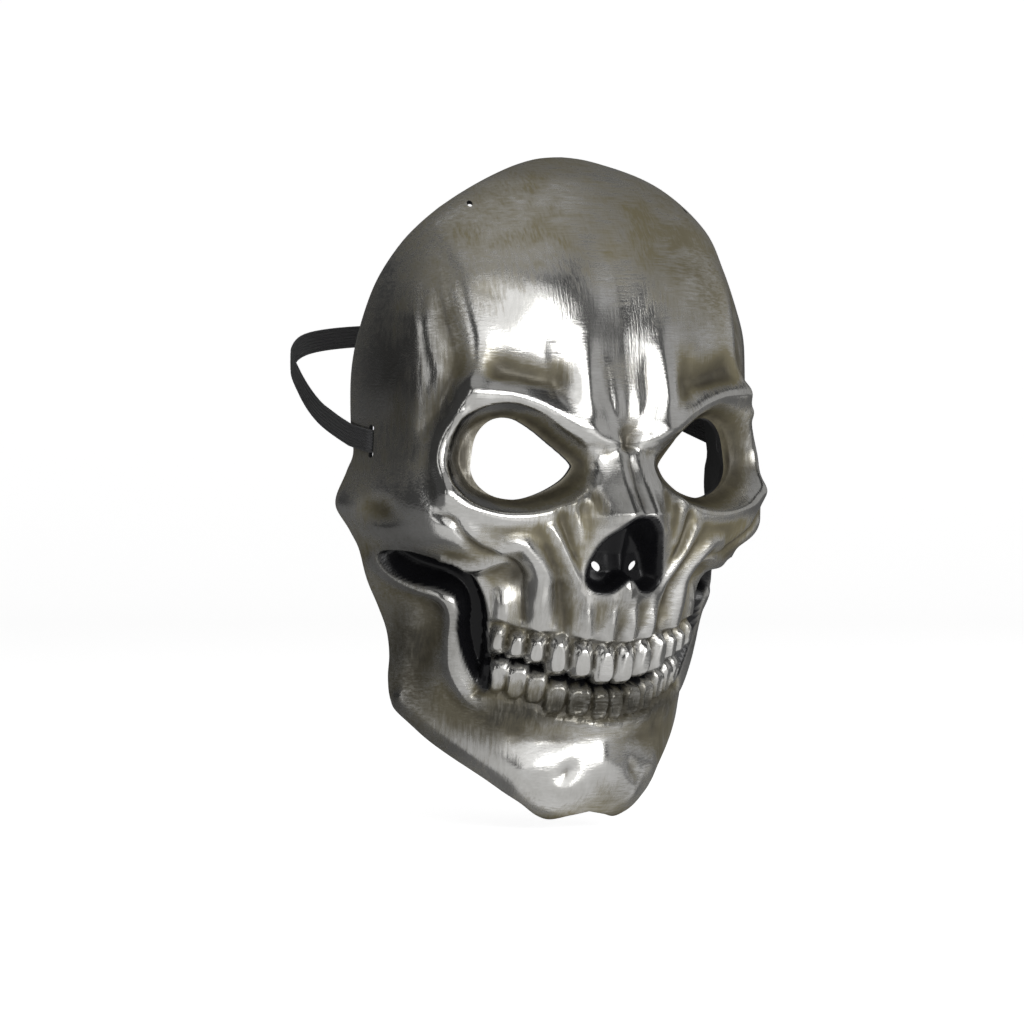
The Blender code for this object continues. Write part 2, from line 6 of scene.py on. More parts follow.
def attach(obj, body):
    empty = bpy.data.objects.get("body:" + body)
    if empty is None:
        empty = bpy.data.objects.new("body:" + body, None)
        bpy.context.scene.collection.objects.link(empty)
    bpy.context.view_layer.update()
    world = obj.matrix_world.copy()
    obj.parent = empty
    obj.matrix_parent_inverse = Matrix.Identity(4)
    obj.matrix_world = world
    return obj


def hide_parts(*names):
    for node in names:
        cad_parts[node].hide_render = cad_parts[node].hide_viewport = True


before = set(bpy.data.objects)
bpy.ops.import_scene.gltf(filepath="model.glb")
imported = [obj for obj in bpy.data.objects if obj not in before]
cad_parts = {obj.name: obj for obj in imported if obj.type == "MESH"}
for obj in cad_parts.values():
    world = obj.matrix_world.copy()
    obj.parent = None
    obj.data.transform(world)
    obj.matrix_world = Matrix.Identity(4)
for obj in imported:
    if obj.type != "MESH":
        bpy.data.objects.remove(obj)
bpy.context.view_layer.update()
mm = .001
browInside = 3.3  # the form's own front stands this far before the origin, mm

# Camera: three quarters from the mask's right, at the height of the eyes.
viewpoint = dict(turn=33, rise=1, distance=1800, originPixel=(627, 445), imageSize=1024, focalPixels=4572,
                 sensor=36, nearest=.05, farthest=30)


def addCamera():
    turn, rise = np.radians(viewpoint["turn"]), np.radians(viewpoint["rise"])
    right = np.array((np.cos(turn), -np.sin(turn), 0))
    back = np.array((-np.sin(turn) * np.cos(rise), -np.cos(turn) * np.cos(rise), np.sin(rise)))
    up = np.cross(back, right)
    perPixel = viewpoint["distance"] / viewpoint["focalPixels"]
    offRight, offDown = (np.array(viewpoint["originPixel"]) - viewpoint["imageSize"] / 2) * perPixel
    place = back * viewpoint["distance"] - right * offRight + up * offDown - (0, browInside, 0)
    bpy.ops.object.camera_add(location=(place * mm).tolist(),
                              rotation=Vector(back.tolist()).to_track_quat("Z", "Y").to_euler())
    camera = bpy.context.object
    camera.name = "viewCamera"
    camera.data.sensor_width = viewpoint["sensor"]
    camera.data.lens = viewpoint["focalPixels"] / viewpoint["imageSize"] * viewpoint["sensor"]
    camera.data.clip_start, camera.data.clip_end = viewpoint["nearest"], viewpoint["farthest"]
    bpy.context.scene.camera = camera


addCamera()
print("camera placed")


def table(columns, *rows):
    names = columns.split()
    return {name: np.array([row[i] for row in rows], float) for i, name in enumerate(names)}


# The plain head form, a section for each height: the front on the midline, the half width and the
# depth of the side line, and how far the front and the side run on before they turn the corner.
head = table(
    "height front halfWidth side frontReach sideReach",
    (-156, 37, 30, 50, .50, .50),
    (-148, 28, 35, 50, .50, .50),
    (-140, 21.5, 42, 55, .46, .50),
    (-130, 17, 50, 60, .40, .44),
    (-115, 15, 60, 66, .38, .42),
    (-105, 13.5, 66, 69, .36, .40),
    (-92, 9.5, 69.5, 70, .38, .42),
    (-80, 6.5, 72, 71, .42, .46),
    (-65, 3, 76, 72, .42, .46),
    (-53, 1.5, 79.5, 74, .46, .50),
    (-40, 2, 84, 76, .72, .76),
    (-22, 3, 88, 77, .81, .84),
    (0, 3, 87, 74, .80, .84),
    (25, 1.5, 87.5, 70, .70, .74),
    (49, 3.5, 85.5, 67, .66, .70),
    (71, 9.5, 80, 68, .68, .72),
    (88, 17.5, 72, 70, .70, .74),
    (100, 26.5, 60, 75, .74, .76),
    (108, 35, 50, 76, .72, .74),
    (115, 46, 43, 80, .60, .62),
    (122, 60, 36, 84, .60, .62),
)

girthShare = .97  # of an ellipse's quarter, which the section is a little tighter than

# The cut edge of the left half: distance round the form from the midline, and height.
# It runs from the top of the forehead down the side to the corner of the jaw and under the chin.
edgeTop = ((0, 115.4), (9, 114.7), (18, 112.4), (28, 108.7), (39, 104.3), (50, 99.4), (60.5, 94))
edgeSide = (
    (60.5, 94), (71.5, 87.5), (83, 79.8), (94, 70.3), (102, 61), (109, 49.3), (114, 37.5), (116.3, 25),
    (116, 8), (114.5, -3), (117.5, -10.5), (120.5, -21.5), (117, -33.5), (113, -41.5), (109, -53.5),
    (103, -63.5), (97.5, -73.5), (95.3, -84), (96, -94), (92.5, -101.5), (76, -114), (57.5, -125.5),
)
edgeChin = ((57.5, -125.5), (39, -136.6), (28, -142.3), (19, -147.3), (13, -149.2), (7, -147.8), (0, -146.4))

# Rounded swellings and hollows: place, height off the form, reach round and up, turn in degrees.
swellings = table(
    "across height rise reachAcross reachUp turn",
    (24.5, 60, 2.4, 20, 19, 0),
    (36, 43, 1.4, 12, 11, 0),
    (0, 62, -1.2, 8, 20, 0),
    (0, 9, 4.8, 14, 15, 0),
    (58, 21, 2.0, 10, 9, 20),
    (77, 44, 1.4, 10, 14, 0),
    (66, 54, -.8, 6, 20, 0),
    (92, 8, -2.0, 13, 13, 0),
    (63, -27, 4.4, 15, 10, 0),
    (82, -24, 2.2, 13, 9, 0),
    (98, -26, -1.6, 8, 5, 0),
    (116, -22, 2.4, 9, 8, 0),
    (46, -52, -2.6, 9, 7, 0),
    (15, -137, 3.4, 12, 8, 0),
    (30, -129, 1.6, 9, 8, 0),
    (0, -128, 1.5, 9, 8, 0),
    (17, -130, -1.2, 3.2, 4.4, 20),
    (24, -117, -1.8, 12, 4.5, 0),
    (45, -107, 1.3, 3.5, 4.5, 20),
    (37, -113, -1.2, 4, 4, 0),
    (78, -82, -2.8, 8, 20, 10),
    (84, -101, 1.5, 8, 7, 0),
)

# Ridges and grooves, each drawn as a path: across, height, rise and half breadth at every point.
ridges = dict(
    brow=((58, 14, 2.4, 4.5), (53, 19, 3.8, 5), (41, 20, 3.8, 4.6), (31, 17.5, 3.6, 4.4),
          (22, 13, 3.4, 4.2), (15, 7.5, 3.4, 4), (9, 3, 3.2, 4), (3, .5, 1.8, 3.5)),
    overBrow=((50, 35, -.8, 5.4), (41, 29, -1.8, 5), (31, 26.5, -2, 4.4), (24, 24.5, -1.4, 3.8)),
    outerOrbit=((60, 11, 2.4, 4.4), (65.5, 3, 2.4, 4.4), (67.5, -6, 3.2, 4.8), (63, -17, 3, 5)),
    lowerOrbit=((62, -18, 2.4, 5), (50, -25, 2.6, 4.2), (37, -28, 2.4, 4), (25, -26.5, 2.2, 4),
                (16, -20, 2, 3.6)),
    templeLine=((43, 72, .3, 9), (54, 62, 1.1, 9), (53.5, 50, 1.6, 8), (51.5, 40, 2, 7), (51.5, 31, 2.4, 6),
                (55, 23, 2.4, 5)),
    behindTempleLine=((63, 64, -.6, 8), (64, 50, -1.2, 8), (62, 38, -1.8, 7), (62.5, 28, -2.2, 6),
                      (68, 18, -2.2, 6), (76, 8, -1.6, 6)),
    frown=((13, 43, .6, 5), (13.2, 35, 1.8, 4.8), (13.4, 26, 2.8, 4.6), (13.2, 17, 3, 4.4), (11, 9, 2, 4.2)),
    frownCrease=((0, 38, -.6, 5), (0, 26, -1.2, 4.4), (0, 16, -2, 3.6), (0, 7, -2.8, 2.6), (0, 0, -3, 2.2)),
    frownLine=((8, 35, -.2, 1.8), (6.4, 28, -.4, 1.8), (5.4, 18, -.6, 1.6), (3.4, 9, -.7, 1.5),
               (.8, 3, -.5, 1.5)),
    besideFrown=((24, 38, -.5, 3.4), (22.8, 30, -1.1, 3.2), (21.6, 21, -1.2, 3)),
    cheekArch=((61, -33.5, 2, 6), (78, -35, 2.2, 5.5), (94.5, -33, 2, 5), (108.5, -30, 1.8, 5),
               (118, -24, 1.5, 5)),
    cheekEdge=((46, -44.5, 1.6, 2.4), (56, -47, 2.6, 2.6), (65.5, -47, 2.6, 2.8), (71, -45, 2.2, 2.6)),
    canineRoot=((44, -41, 1.2, 3), (39, -38.5, 2.4, 3.4), (34.5, -39.5, 2.8, 3.8), (33.5, -46, 2.8, 4.2),
                (35.5, -55, 3.6, 4.2), (35.5, -66, 3, 4), (34.5, -76, 1.8, 4)),
    besideCanine=((27, -40, -.8, 1.6), (28, -48, -1.2, 1.8), (29, -58, -1, 2), (28.5, -68, -.6, 2)),
    cheekFold=((68, -26, -.8, 1.8), (61.5, -28.5, -1.8, 2), (58.4, -34, -2.2, 2), (54, -40, -2, 2),
               (48.3, -42.5, -1.4, 1.6), (43, -45, -1.4, 1.6), (41.8, -51, -1.2, 1.6), (42.6, -57, -1.4, 1.8),
               (41, -68, -1, 1.8)),
    molarRoot=((49.5, -58, 1.6, 3.2), (49, -66, 2.2, 3.2), (49.5, -74, 1.4, 3)),
    sideRoot=((17.5, -61, 1.2, 3.2), (16.8, -69, 2.9, 3.4), (16, -77, 2, 3.2)),
    frontRoot=((5, -62, 1, 3), (5.6, -70, 2.6, 3.2), (5.5, -78, 1.8, 3)),
    betweenRoots=((27.5, -56, -1.8, 3), (26, -66, -2.4, 2.8), (24.5, -76, -1.6, 2.2)),
    noseSpine=((0, -57, 1.8, 2.4), (0, -62, 1, 2.5), (0, -68, 0, 2.5), (0, -76, -.8, 2)),
    besideNose=((24, -33, 2, 2.6), (21.5, -41, 2.6, 2.5), (22, -49, 2.2, 2.5), (21, -57, 1, 2.6)),
    noseFacet=((12.5, -11, .6, 1.6), (15.5, -18, 1.4, 1.8), (17, -24, 1.6, 2), (16.5, -31, 1.8, 2.2),
               (16, -38, 1.2, 2)),
    noseEdge=((11, -9, -.5, 1), (11, -14, -1, 1.1), (10.2, -20, -1.1, 1.1), (9.2, -27, -.8, 1)),
    facetGroove=((20.5, -26, -1, 1.8), (18.8, -35, -1.6, 1.8), (18.8, -43, -1, 1.7)),
    jawBack=((104.5, -46, 1.8, 3.5), (92.5, -52.5, 2.4, 3.2), (80, -57, 2.8, 3), (70.5, -60.5, 4, 3.6),
              (67.5, -68, 2.8, 3.2), (67, -77, 2.4, 3.2), (64.5, -88, 2.4, 3.4), (57.5, -98, 2.2, 3.2),
              (50.5, -103, 1.4, 3.2)),
    jawLine=((86, -102, 1.8, 5), (70, -112, 2.2, 6), (53.5, -121, 2, 7), (34.5, -130, 1.6, 7)),
)

# The nose bone: how far the ridge stands off the form at each height, and its half breadth.
nose = table(
    "height rise halfBreadth flat strip",
    (-72, 0, 14, 0, 3), (-64, .8, 15, 0, 3), (-58, 3, 15, 0, 3), (-52, 4.4, 14, 0, 3), (-46, 5.5, 12, 0, 3.6),
    (-40, 10, 10, 1, 3.6), (-34, 15.5, 8.5, 2.2, 3.6), (-28, 16, 8.5, 2.6, 3.5), (-22, 12.5, 9, 2.6, 3.2),
    (-16, 8.8, 9, 2.4, 3), (-10, 5.5, 8.5, 2, 2.8), (-5, 2.8, 8, 1.6, 2.6), (-1, .5, 8, 1.2, 2.5),
)
noseStrip = dict(rise=.8, halfBreadth=2, furrow=.5, furrowBreadth=.9, fade=((-31, -28, -7, -2), (0, 1, 1, 0)))

# Outlines of the left half: the rim of the eye socket, the eye opening in it and the hollow
# between cheek and jaw. The nose hollow is given for its left half and mirrored.
socket = (
    (63.5, -8), (62.5, 2), (56.5, 10), (46.5, 14.5), (37, 15.3), (27.5, 12), (19.5, 6), (11.5, -1.5),
    (8.5, -7), (10, -14), (15, -20), (23, -24), (34, -25.5), (45.5, -24), (56, -18.5),
)
eye = (
    (52.5, -6.5), (50.5, 4), (44, 10), (35, 10.5), (26.5, 6), (19, -.5), (13.5, -7), (13.5, -10),
    (16.5, -14.5), (23, -19), (31.5, -21.5), (40.5, -20.5), (47.5, -16.5), (51.5, -11.5),
)
jawHollow = (
    (101, -43), (93, -42), (84.5, -42.5), (76.5, -44.5), (69, -45.5), (63.5, -48), (60, -53.5), (56.7, -60.5),
    (55, -67), (54, -74), (52.5, -82), (51, -88), (49.5, -93), (50.5, -96.5), (54.5, -93), (59, -86),
    (62.2, -78.5), (64, -71.5), (64.3, -65), (66.5, -59), (72, -55.8), (79, -54.2), (86.5, -52.2), (96, -48),
)
noseHollow = (
    (0, -29.2), (2.4, -29.8), (6, -34), (8.8, -37.6), (12.2, -43.4), (16.8, -50), (17.6, -54), (15, -57),
    (10.5, -58), (6.5, -57), (3.4, -54.6), (0, -52.6),
)
noseFloor = table("height rise", (-58, -4), (-50, -6.5), (-42, -6), (-34, -2.5), (-30, 1))
socketDepth = table("across depth", (10, 4), (22, 8), (40, 9.5), (60, 7.5))
jawHollowDepth = 8.0
# how far inside its outline each hollow starts to fall, and where it is at its full depth
sinkEdges = dict(socket=(-1.5, 4.5), jaw=(-1, 2.4), nose=(-.4, 3.6))
septumRidge = dict(rise=3.4, halfBreadth=2.0)

# Teeth of the left half, from the front tooth back.
upperTeeth = table(
    "across halfWidth gum tip",
    (5.4, 4.9, -79.5, -94.5), (16, 4.5, -78.2, -92), (26, 4.1, -75.5, -90.5),
    (34.3, 3.6, -75, -86), (41.9, 3.3, -73.5, -83.8), (49, 3, -70.5, -81.8),
)
lowerTeeth = table(
    "across halfWidth gum tip",
    (4.4, 3.8, -108.5, -98.3), (14.8, 4.7, -107, -96.8), (24.8, 3.9, -105.8, -95),
    (32.7, 3.3, -101.6, -91.2), (40, 3.3, -99.6, -88.4), (46.8, 2.8, -97, -86.6),
)
toothShape = dict(upper=dict(base=1.2, crown=1.5, ring=0), lower=dict(base=.9, crown=-.3, ring=.6))
toothPlate = dict(width=1.02, taper=.1, square=3.4, baseEdge=.7, crownEdge=(.5, -1.3), plateWidth=.74,
                  plateTaper=.2, plateHeight=1.1, plateSquare=2.8, ringAt=-.8, ringBreadth=.55)
mouthShape = dict(corner=54.5, gapDepth=6.0, gumDepth=1.6, gumEdge=(.9, 1.3, .6), outerGumEdge=(.7, 2.8, .7),
                  bandMargin=1.5, bandEdge=(-1.2, 1.6), gapMargin=1.2, gapEdge=(.4, 2), gumFrom=(2, 5))


def ease(start, end, value):
    t = np.clip((value - start) / (end - start), 0, 1)
    return t * t * (3 - 2 * t)


def read(rows, column, against, at):
    return np.interp(at, rows[against], rows[column])


def readSmooth(rows, column, against, at):
    x, v = rows[against], rows[column]
    slope = np.gradient(v, x)
    i = np.clip(np.searchsorted(x, at) - 1, 0, len(x) - 2)
    h = x[i + 1] - x[i]
    t = np.clip((at - x[i]) / h, -.5, 1.5)
    start = (2 * t**3 - 3 * t**2 + 1) * v[i] + (t**3 - 2 * t**2 + t) * h * slope[i]
    return start + (3 * t**2 - 2 * t**3) * v[i + 1] + (t**3 - t**2) * h * slope[i + 1]


def smoothPath(rows, closed=False, steps=6):
    p = np.array(rows, float)
    count = len(p)
    out = []
    for i in range(count if closed else count - 1):
        if closed:
            a, b, c, d = (p[(i + k) % count] for k in (-1, 0, 1, 2))
        else:
            a, b, c, d = p[max(i - 1, 0)], p[i], p[i + 1], p[min(i + 2, count - 1)]
        for k in range(steps):
            t = k / steps
            bend = (c - a) * t + (2 * a - 5 * b + 4 * c - d) * t**2 + (3 * b - a - 3 * c + d) * t**3
            out.append(b + bend / 2)
    if not closed:
        out.append(p[-1])
    return np.array(out)


def nearest(across, height, path, closed=False):
    best = np.full(across.shape, 1e9)
    values = [np.zeros(across.shape) for _ in range(path.shape[1] - 2)]
    for i in range(len(path) if closed else len(path) - 1):
        a, b = path[i], path[(i + 1) % len(path)]
        run = b[:2] - a[:2]
        t = ((across - a[0]) * run[0] + (height - a[1]) * run[1]) / (run @ run + 1e-9)
        t = np.clip(t, 0, 1)
        distance = np.hypot(across - a[0] - t * run[0], height - a[1] - t * run[1])
        nearer = distance < best
        best = np.where(nearer, distance, best)
        for k in range(len(values)):
            values[k] = np.where(nearer, a[2 + k] + t * (b[2 + k] - a[2 + k]), values[k])
    return best, values


def depthIn(across, height, outline):
    path = smoothPath(outline, closed=True)
    within = np.zeros(across.shape, bool)
    for i in range(len(path)):
        a, b = path[i], path[(i + 1) % len(path)]
        if a[1] != b[1]:
            crossing = (b[0] - a[0]) * (height - a[1]) / (b[1] - a[1]) + a[0]
            within ^= ((a[1] > height) != (b[1] > height)) & (across < crossing)
    distance, _ = nearest(across, height, path, closed=True)
    return np.where(within, distance, -distance)


def mirrored(outline):
    return tuple(outline) + tuple((-x, z) for x, z in reversed(outline[1:-1]))


def headForm(across, height):
    front, width, side, frontReach, sideReach = (
        readSmooth(head, name, "height", height)
        for name in ("front", "halfWidth", "side", "frontReach", "sideReach"))
    deep = side - front
    quarter = np.pi / 4 * (3 * (width + deep) - np.sqrt((3 * width + deep) * (width + 3 * deep)))
    girth = quarter * girthShare
    t = np.abs(across) / girth
    u = 1 - t
    x = width * (3 * u * u * t * frontReach + 3 * u * t * t + t**3)
    y = front + deep * (3 * u * t * t * (1 - sideReach) + t**3)
    past = t > 1
    x = np.where(past, width, x)
    y = np.where(past, side + np.abs(across) - girth, y)
    return np.stack([np.sign(across) * x, y, height + 0 * x], -1)


def headNormal(across, height, reach=.5):
    roundIt = headForm(across + reach, height) - headForm(across - reach, height)
    upIt = headForm(across, height + reach) - headForm(across, height - reach)
    normal = np.cross(roundIt, upIt)
    return normal / np.linalg.norm(normal, axis=-1, keepdims=True)


def swellingRise(across, height):
    rise = np.zeros(across.shape)
    for i in range(len(swellings["rise"])):
        row = {name: column[i] for name, column in swellings.items()}
        turn = np.radians(row["turn"])
        da, dh = across - row["across"], height - row["height"]
        u = (da * np.cos(turn) + dh * np.sin(turn)) / row["reachAcross"]
        v = (dh * np.cos(turn) - da * np.sin(turn)) / row["reachUp"]
        rise += row["rise"] * np.exp(-u * u - v * v)
    return rise


def ridgeRise(across, height):
    rise = np.zeros(across.shape)
    for rows in ridges.values():
        distance, (peak, halfBreadth) = nearest(across, height, smoothPath(rows))
        rise += peak * np.exp(-(distance / halfBreadth)**2)
    return rise


def noseBone(across, height):
    halfBreadth, rise, flat, strip = (read(nose, name, "height", height)
                                      for name in ("halfBreadth", "rise", "flat", "strip"))
    rise = rise / (1 + (np.maximum(across - flat, 0) / halfBreadth)**2)
    stripRise = noseStrip["rise"] * np.exp(-((across - strip) / noseStrip["halfBreadth"])**2)
    furrow = noseStrip["furrow"] * np.exp(-(across / noseStrip["furrowBreadth"])**2)
    return rise + np.interp(height, *noseStrip["fade"]) * (stripRise - furrow)


def toothRow(across, height, teeth, shape):
    # each tooth is a low base with sharp sides and a crown plate on it, narrow at the gum
    square, plateSquare = toothPlate["square"], toothPlate["plateSquare"]
    top = np.full(across.shape, -9.0)
    beyond = np.full(across.shape, 9.0)
    for centre, halfWidth, gum, tip in zip(*(teeth[n] for n in ("across", "halfWidth", "gum", "tip"))):
        halfHeight = abs(gum - tip) / 2
        v = (height - (gum + tip) / 2) / halfHeight * np.sign(gum - tip)
        small = min(halfWidth, halfHeight)
        upTooth = np.clip(v, -1, 1)
        u = (across - centre) / (halfWidth * (toothPlate["width"] - toothPlate["taper"] * upTooth))
        off = ((np.abs(u)**square + np.abs(v)**square)**(1 / square) - 1) * small
        plateWidth = toothPlate["plateWidth"] - toothPlate["plateTaper"] * upTooth
        plateU = (across - centre) / (halfWidth * plateWidth)
        plateV = np.abs(v * toothPlate["plateHeight"])
        plateOff = ((np.abs(plateU)**plateSquare + plateV**plateSquare)**(1 / plateSquare) - 1) * small
        tooth = shape["base"] * (1 - np.exp(np.minimum(off, 6) / toothPlate["baseEdge"]))
        tooth = tooth + shape["crown"] * ease(*toothPlate["crownEdge"], plateOff)
        tooth = tooth + shape["ring"] * np.exp(-((off - toothPlate["ringAt"]) / toothPlate["ringBreadth"])**2)
        top = np.maximum(top, tooth)
        beyond = np.minimum(beyond, off)
    return top, beyond


def mouth(across, height, rise):
    lines = {}
    for name, teeth in (("upper", upperTeeth), ("lower", lowerTeeth)):
        lines[name + "Gum"] = read(teeth, "gum", "across", across)
        lines[name + "Tip"] = read(teeth, "tip", "across", across)
    margin = mouthShape["bandMargin"]
    inBand = np.minimum(lines["upperGum"] + margin - height, height - lines["lowerGum"] + margin)
    inBand = np.minimum(inBand, mouthShape["corner"] - across)
    inGap = np.minimum(lines["upperTip"] - height, height - lines["lowerTip"]) + mouthShape["gapMargin"]
    gap = ease(*mouthShape["gapEdge"], inGap)
    floor = -mouthShape["gumDepth"] * (1 - gap) - mouthShape["gapDepth"] * gap
    upper, _ = toothRow(across, height, upperTeeth, toothShape["upper"])
    lower, belowGum = toothRow(across, height, lowerTeeth, toothShape["lower"])
    blend = ease(*mouthShape["bandEdge"], inBand)
    rise = rise * (1 - blend) + np.maximum(np.maximum(upper, lower), floor) * blend
    # the gum stands round the lower teeth as a scalloped double edge
    atGum = ease(*mouthShape["gumFrom"], lines["lowerTip"] - height)
    atGum = atGum * ease(0, 3, mouthShape["corner"] - 1 - across)
    for peak, below, halfBreadth in (mouthShape["gumEdge"], mouthShape["outerGumEdge"]):
        rise = rise + peak * np.exp(-((belowGum - below) / halfBreadth)**2) * atGum
    return rise


def relief(signedAcross, height):
    across = np.abs(signedAcross)
    rise = swellingRise(across, height) + ridgeRise(across, height) + noseBone(across, height)
    sink = ease(*sinkEdges["socket"], depthIn(across, height, socket))
    rise = rise * (1 - sink) - sink * read(socketDepth, "depth", "across", across)
    sink = ease(*sinkEdges["jaw"], depthIn(across, height, jawHollow))
    rise = rise * (1 - sink) - sink * jawHollowDepth
    rise = mouth(across, height, rise)
    sink = ease(*sinkEdges["nose"], depthIn(signedAcross, height, mirrored(noseHollow)))
    septum = septumRidge["rise"] * np.exp(-(across / septumRidge["halfBreadth"])**2)
    return rise * (1 - sink) + sink * (read(noseFloor, "rise", "height", height) + septum)


# The shell: a fine outer skin and a coarser inner one, joined round the cut edge.
shell = dict(wall=2.0, columns=270, rows=300, innerStep=3, denserAcross=.22, denserUp=.3, densestUp=.42,
             edgeRound=.35, smoothAngle=50)
openings = dict(
    nostril=dict(at=(8.3, -48), size=(4.4, 4.4), sides=20, front=10, back=12),
    strapSlot=dict(at=(105, 1.5), size=(2.4, 13), sides=20, front=6, back=8),
    hangingHole=dict(at=(46, 95), size=(2.6, 2.6), sides=16, front=5, back=8),
)
eyeCut = dict(steps=6, front=16, back=18)


def along(rows, t):
    path = smoothPath(rows, steps=12)
    run = np.concatenate([[0], np.cumsum(np.linalg.norm(np.diff(path, axis=0), axis=1))])
    return np.stack([np.interp(t * run[-1], run, path[:, k]) for k in (0, 1)], -1)


def placesOnForm(a, b):
    # a runs from the right cut edge to the left one, b from the chin to the top of the forehead
    squeeze = 2 * np.pi
    a = a - shell["denserAcross"] * np.sin(squeeze * (a - .5)) / squeeze
    shift = shell["densestUp"]
    b = b - shell["denserUp"] * (np.sin(squeeze * (b - shift)) + np.sin(squeeze * shift)) / squeeze
    flip = np.stack([np.sign(a - .5), np.ones(a.shape)], -1)
    out = np.abs(2 * a - 1)
    top, chin = along(edgeTop, out) * flip, along(edgeChin, 1 - out) * flip
    side = along(edgeSide, 1 - b)
    a, b = a[:, None], b[:, None]
    columns = (1 - b) * chin + b * top
    rows = (1 - a) * side * (-1, 1) + a * side
    low, high = np.array(edgeChin[0]), np.array(edgeTop[-1])
    corners = (1 - b) * ((1 - a) * low * (-1, 1) + a * low) + b * ((1 - a) * high * (-1, 1) + a * high)
    place = rows + columns - corners
    return place[:, 0], place[:, 1]


def innerRise(across, height, rise):
    # a ball as wide as the wall rolls under the outer skin
    wall = shell["wall"]
    inner = rise - wall
    reach = int(wall / .5) + 1
    ups, rounds = rise.shape
    for i in range(-reach, reach + 1):
        for j in range(-reach, reach + 1):
            row = np.clip(np.arange(ups) + i, 0, ups - 1)[:, None]
            column = np.clip(np.arange(rounds) + j, 0, rounds - 1)[None]
            away = np.hypot(across[row, column] - across, height[row, column] - height)
            ball = rise[row, column] - np.sqrt(np.maximum(wall**2 - away**2, 0))
            inner = np.where(away < wall, np.minimum(inner, ball), inner)
    return inner


def onForm(across, height, rise):
    place = headForm(across, height) + headNormal(across, height) * np.asarray(rise)[..., None]
    return (place - (0, browInside, 0)) * mm


def deselectAll():
    if bpy.context.object and bpy.context.object.mode != "OBJECT":
        bpy.ops.object.mode_set(mode="OBJECT")
    bpy.ops.object.select_all(action="DESELECT")


def vertexPlaces(piece):
    places = np.empty(len(piece.data.vertices) * 3)
    piece.data.vertices.foreach_get("co", places)
    return places.reshape(-1, 3)


def moveVertices(piece, places):
    piece.data.vertices.foreach_set("co", np.asarray(places, float).ravel())
    piece.data.update()


def plainGrid(name, columns, rows):
    # returns the grid and where each of its vertices stands, from 0 to 1 both ways
    deselectAll()
    bpy.ops.mesh.primitive_grid_add(x_subdivisions=columns, y_subdivisions=rows, size=1, location=(0, 0, 0))
    grid = bpy.context.object
    grid.name = grid.data.name = name
    at = vertexPlaces(grid) + .5
    return grid, at[:, 0], at[:, 1]


def selectOnly(*pieces):
    deselectAll()
    for piece in pieces:
        piece.select_set(True)
    bpy.context.view_layer.objects.active = pieces[-1]


def applyModifiers(piece):
    selectOnly(piece)
    for modifier in list(piece.modifiers):
        bpy.ops.object.modifier_apply(modifier=modifier.name)


def inEditMode(piece, step):
    selectOnly(piece)
    bpy.ops.object.mode_set(mode="EDIT")
    bpy.ops.mesh.select_mode(type="VERT")
    bpy.ops.mesh.select_all(action="SELECT")
    step()
    bpy.ops.object.mode_set(mode="OBJECT")


def selectBoundary():
    bpy.ops.mesh.select_all(action="DESELECT")
    bpy.ops.mesh.select_mode(type="EDGE")
    bpy.ops.mesh.select_non_manifold(extend=False, use_wire=False, use_boundary=True,
                                     use_multi_face=False, use_non_contiguous=False, use_verts=False)


def facesOutwards():
    bpy.ops.mesh.select_all(action="SELECT")
    bpy.ops.mesh.normals_make_consistent(inside=False)


def shellSkins():
    columns, rows = shell["columns"], shell["rows"]
    outer, a, b = plainGrid("maskShell", columns, rows)
    across, height = placesOnForm(a, b)
    rise = relief(across, height)
    grid = (rows + 1, columns + 1)
    inward = innerRise(across.reshape(grid), height.reshape(grid), rise.reshape(grid))
    atEdge = (a < 1e-4) | (a > 1 - 1e-4) | (b < 1e-4) | (b > 1 - 1e-4)
    moveVertices(outer, onForm(across, height, rise - shell["edgeRound"] * atEdge))
    step = shell["innerStep"]
    inner, _, _ = plainGrid("shellInside", columns // step, rows // step)
    pickRows, pickColumns = np.arange(0, rows + 1, step), np.arange(0, columns + 1, step)
    pick = (pickRows[:, None] * (columns + 1) + pickColumns[None]).ravel()
    moveVertices(inner, onForm(across[pick], height[pick], inward.ravel()[pick]))
    inEditMode(inner, bpy.ops.mesh.flip_normals)
    selectOnly(inner, outer)
    bpy.ops.object.join()
    outerFaces = columns * rows

    def rim():
        selectBoundary()
        bpy.ops.mesh.bridge_edge_loops()
        facesOutwards()

    inEditMode(outer, rim)
    inside = np.ones(len(outer.data.polygons), int)
    inside[:outerFaces] = 0
    outer.data.polygons.foreach_set("material_index", inside)
    return outer, (across, height, rise)


def openingCutter(name, outline, along, front, back):
    across, height = np.array(outline, float)
    deselectAll()
    bpy.ops.mesh.primitive_circle_add(vertices=len(across), fill_type="NGON", location=(0, 0, 0))
    tool = bpy.context.object
    tool.name = name
    moveVertices(tool, onForm(across, height, relief(across, height)) + along * front * mm)

    def throughWall():
        through = (-along * (front + back) * mm).tolist()
        bpy.ops.mesh.extrude_region_move(TRANSFORM_OT_translate={"value": through})
        facesOutwards()

    inEditMode(tool, throughWall)
    return tool


def openingOutline(at, size, sides, **others):
    # a round hole, or a slot with round ends where it is longer than wide
    turn = np.arange(sides) * 2 * np.pi / sides
    radius, straight = size[0] / 2, (size[1] - size[0]) / 2
    return (at[0] + radius * np.cos(turn),
            at[1] + radius * np.sin(turn) + straight * np.where(np.sin(turn) >= 0, 1, -1))


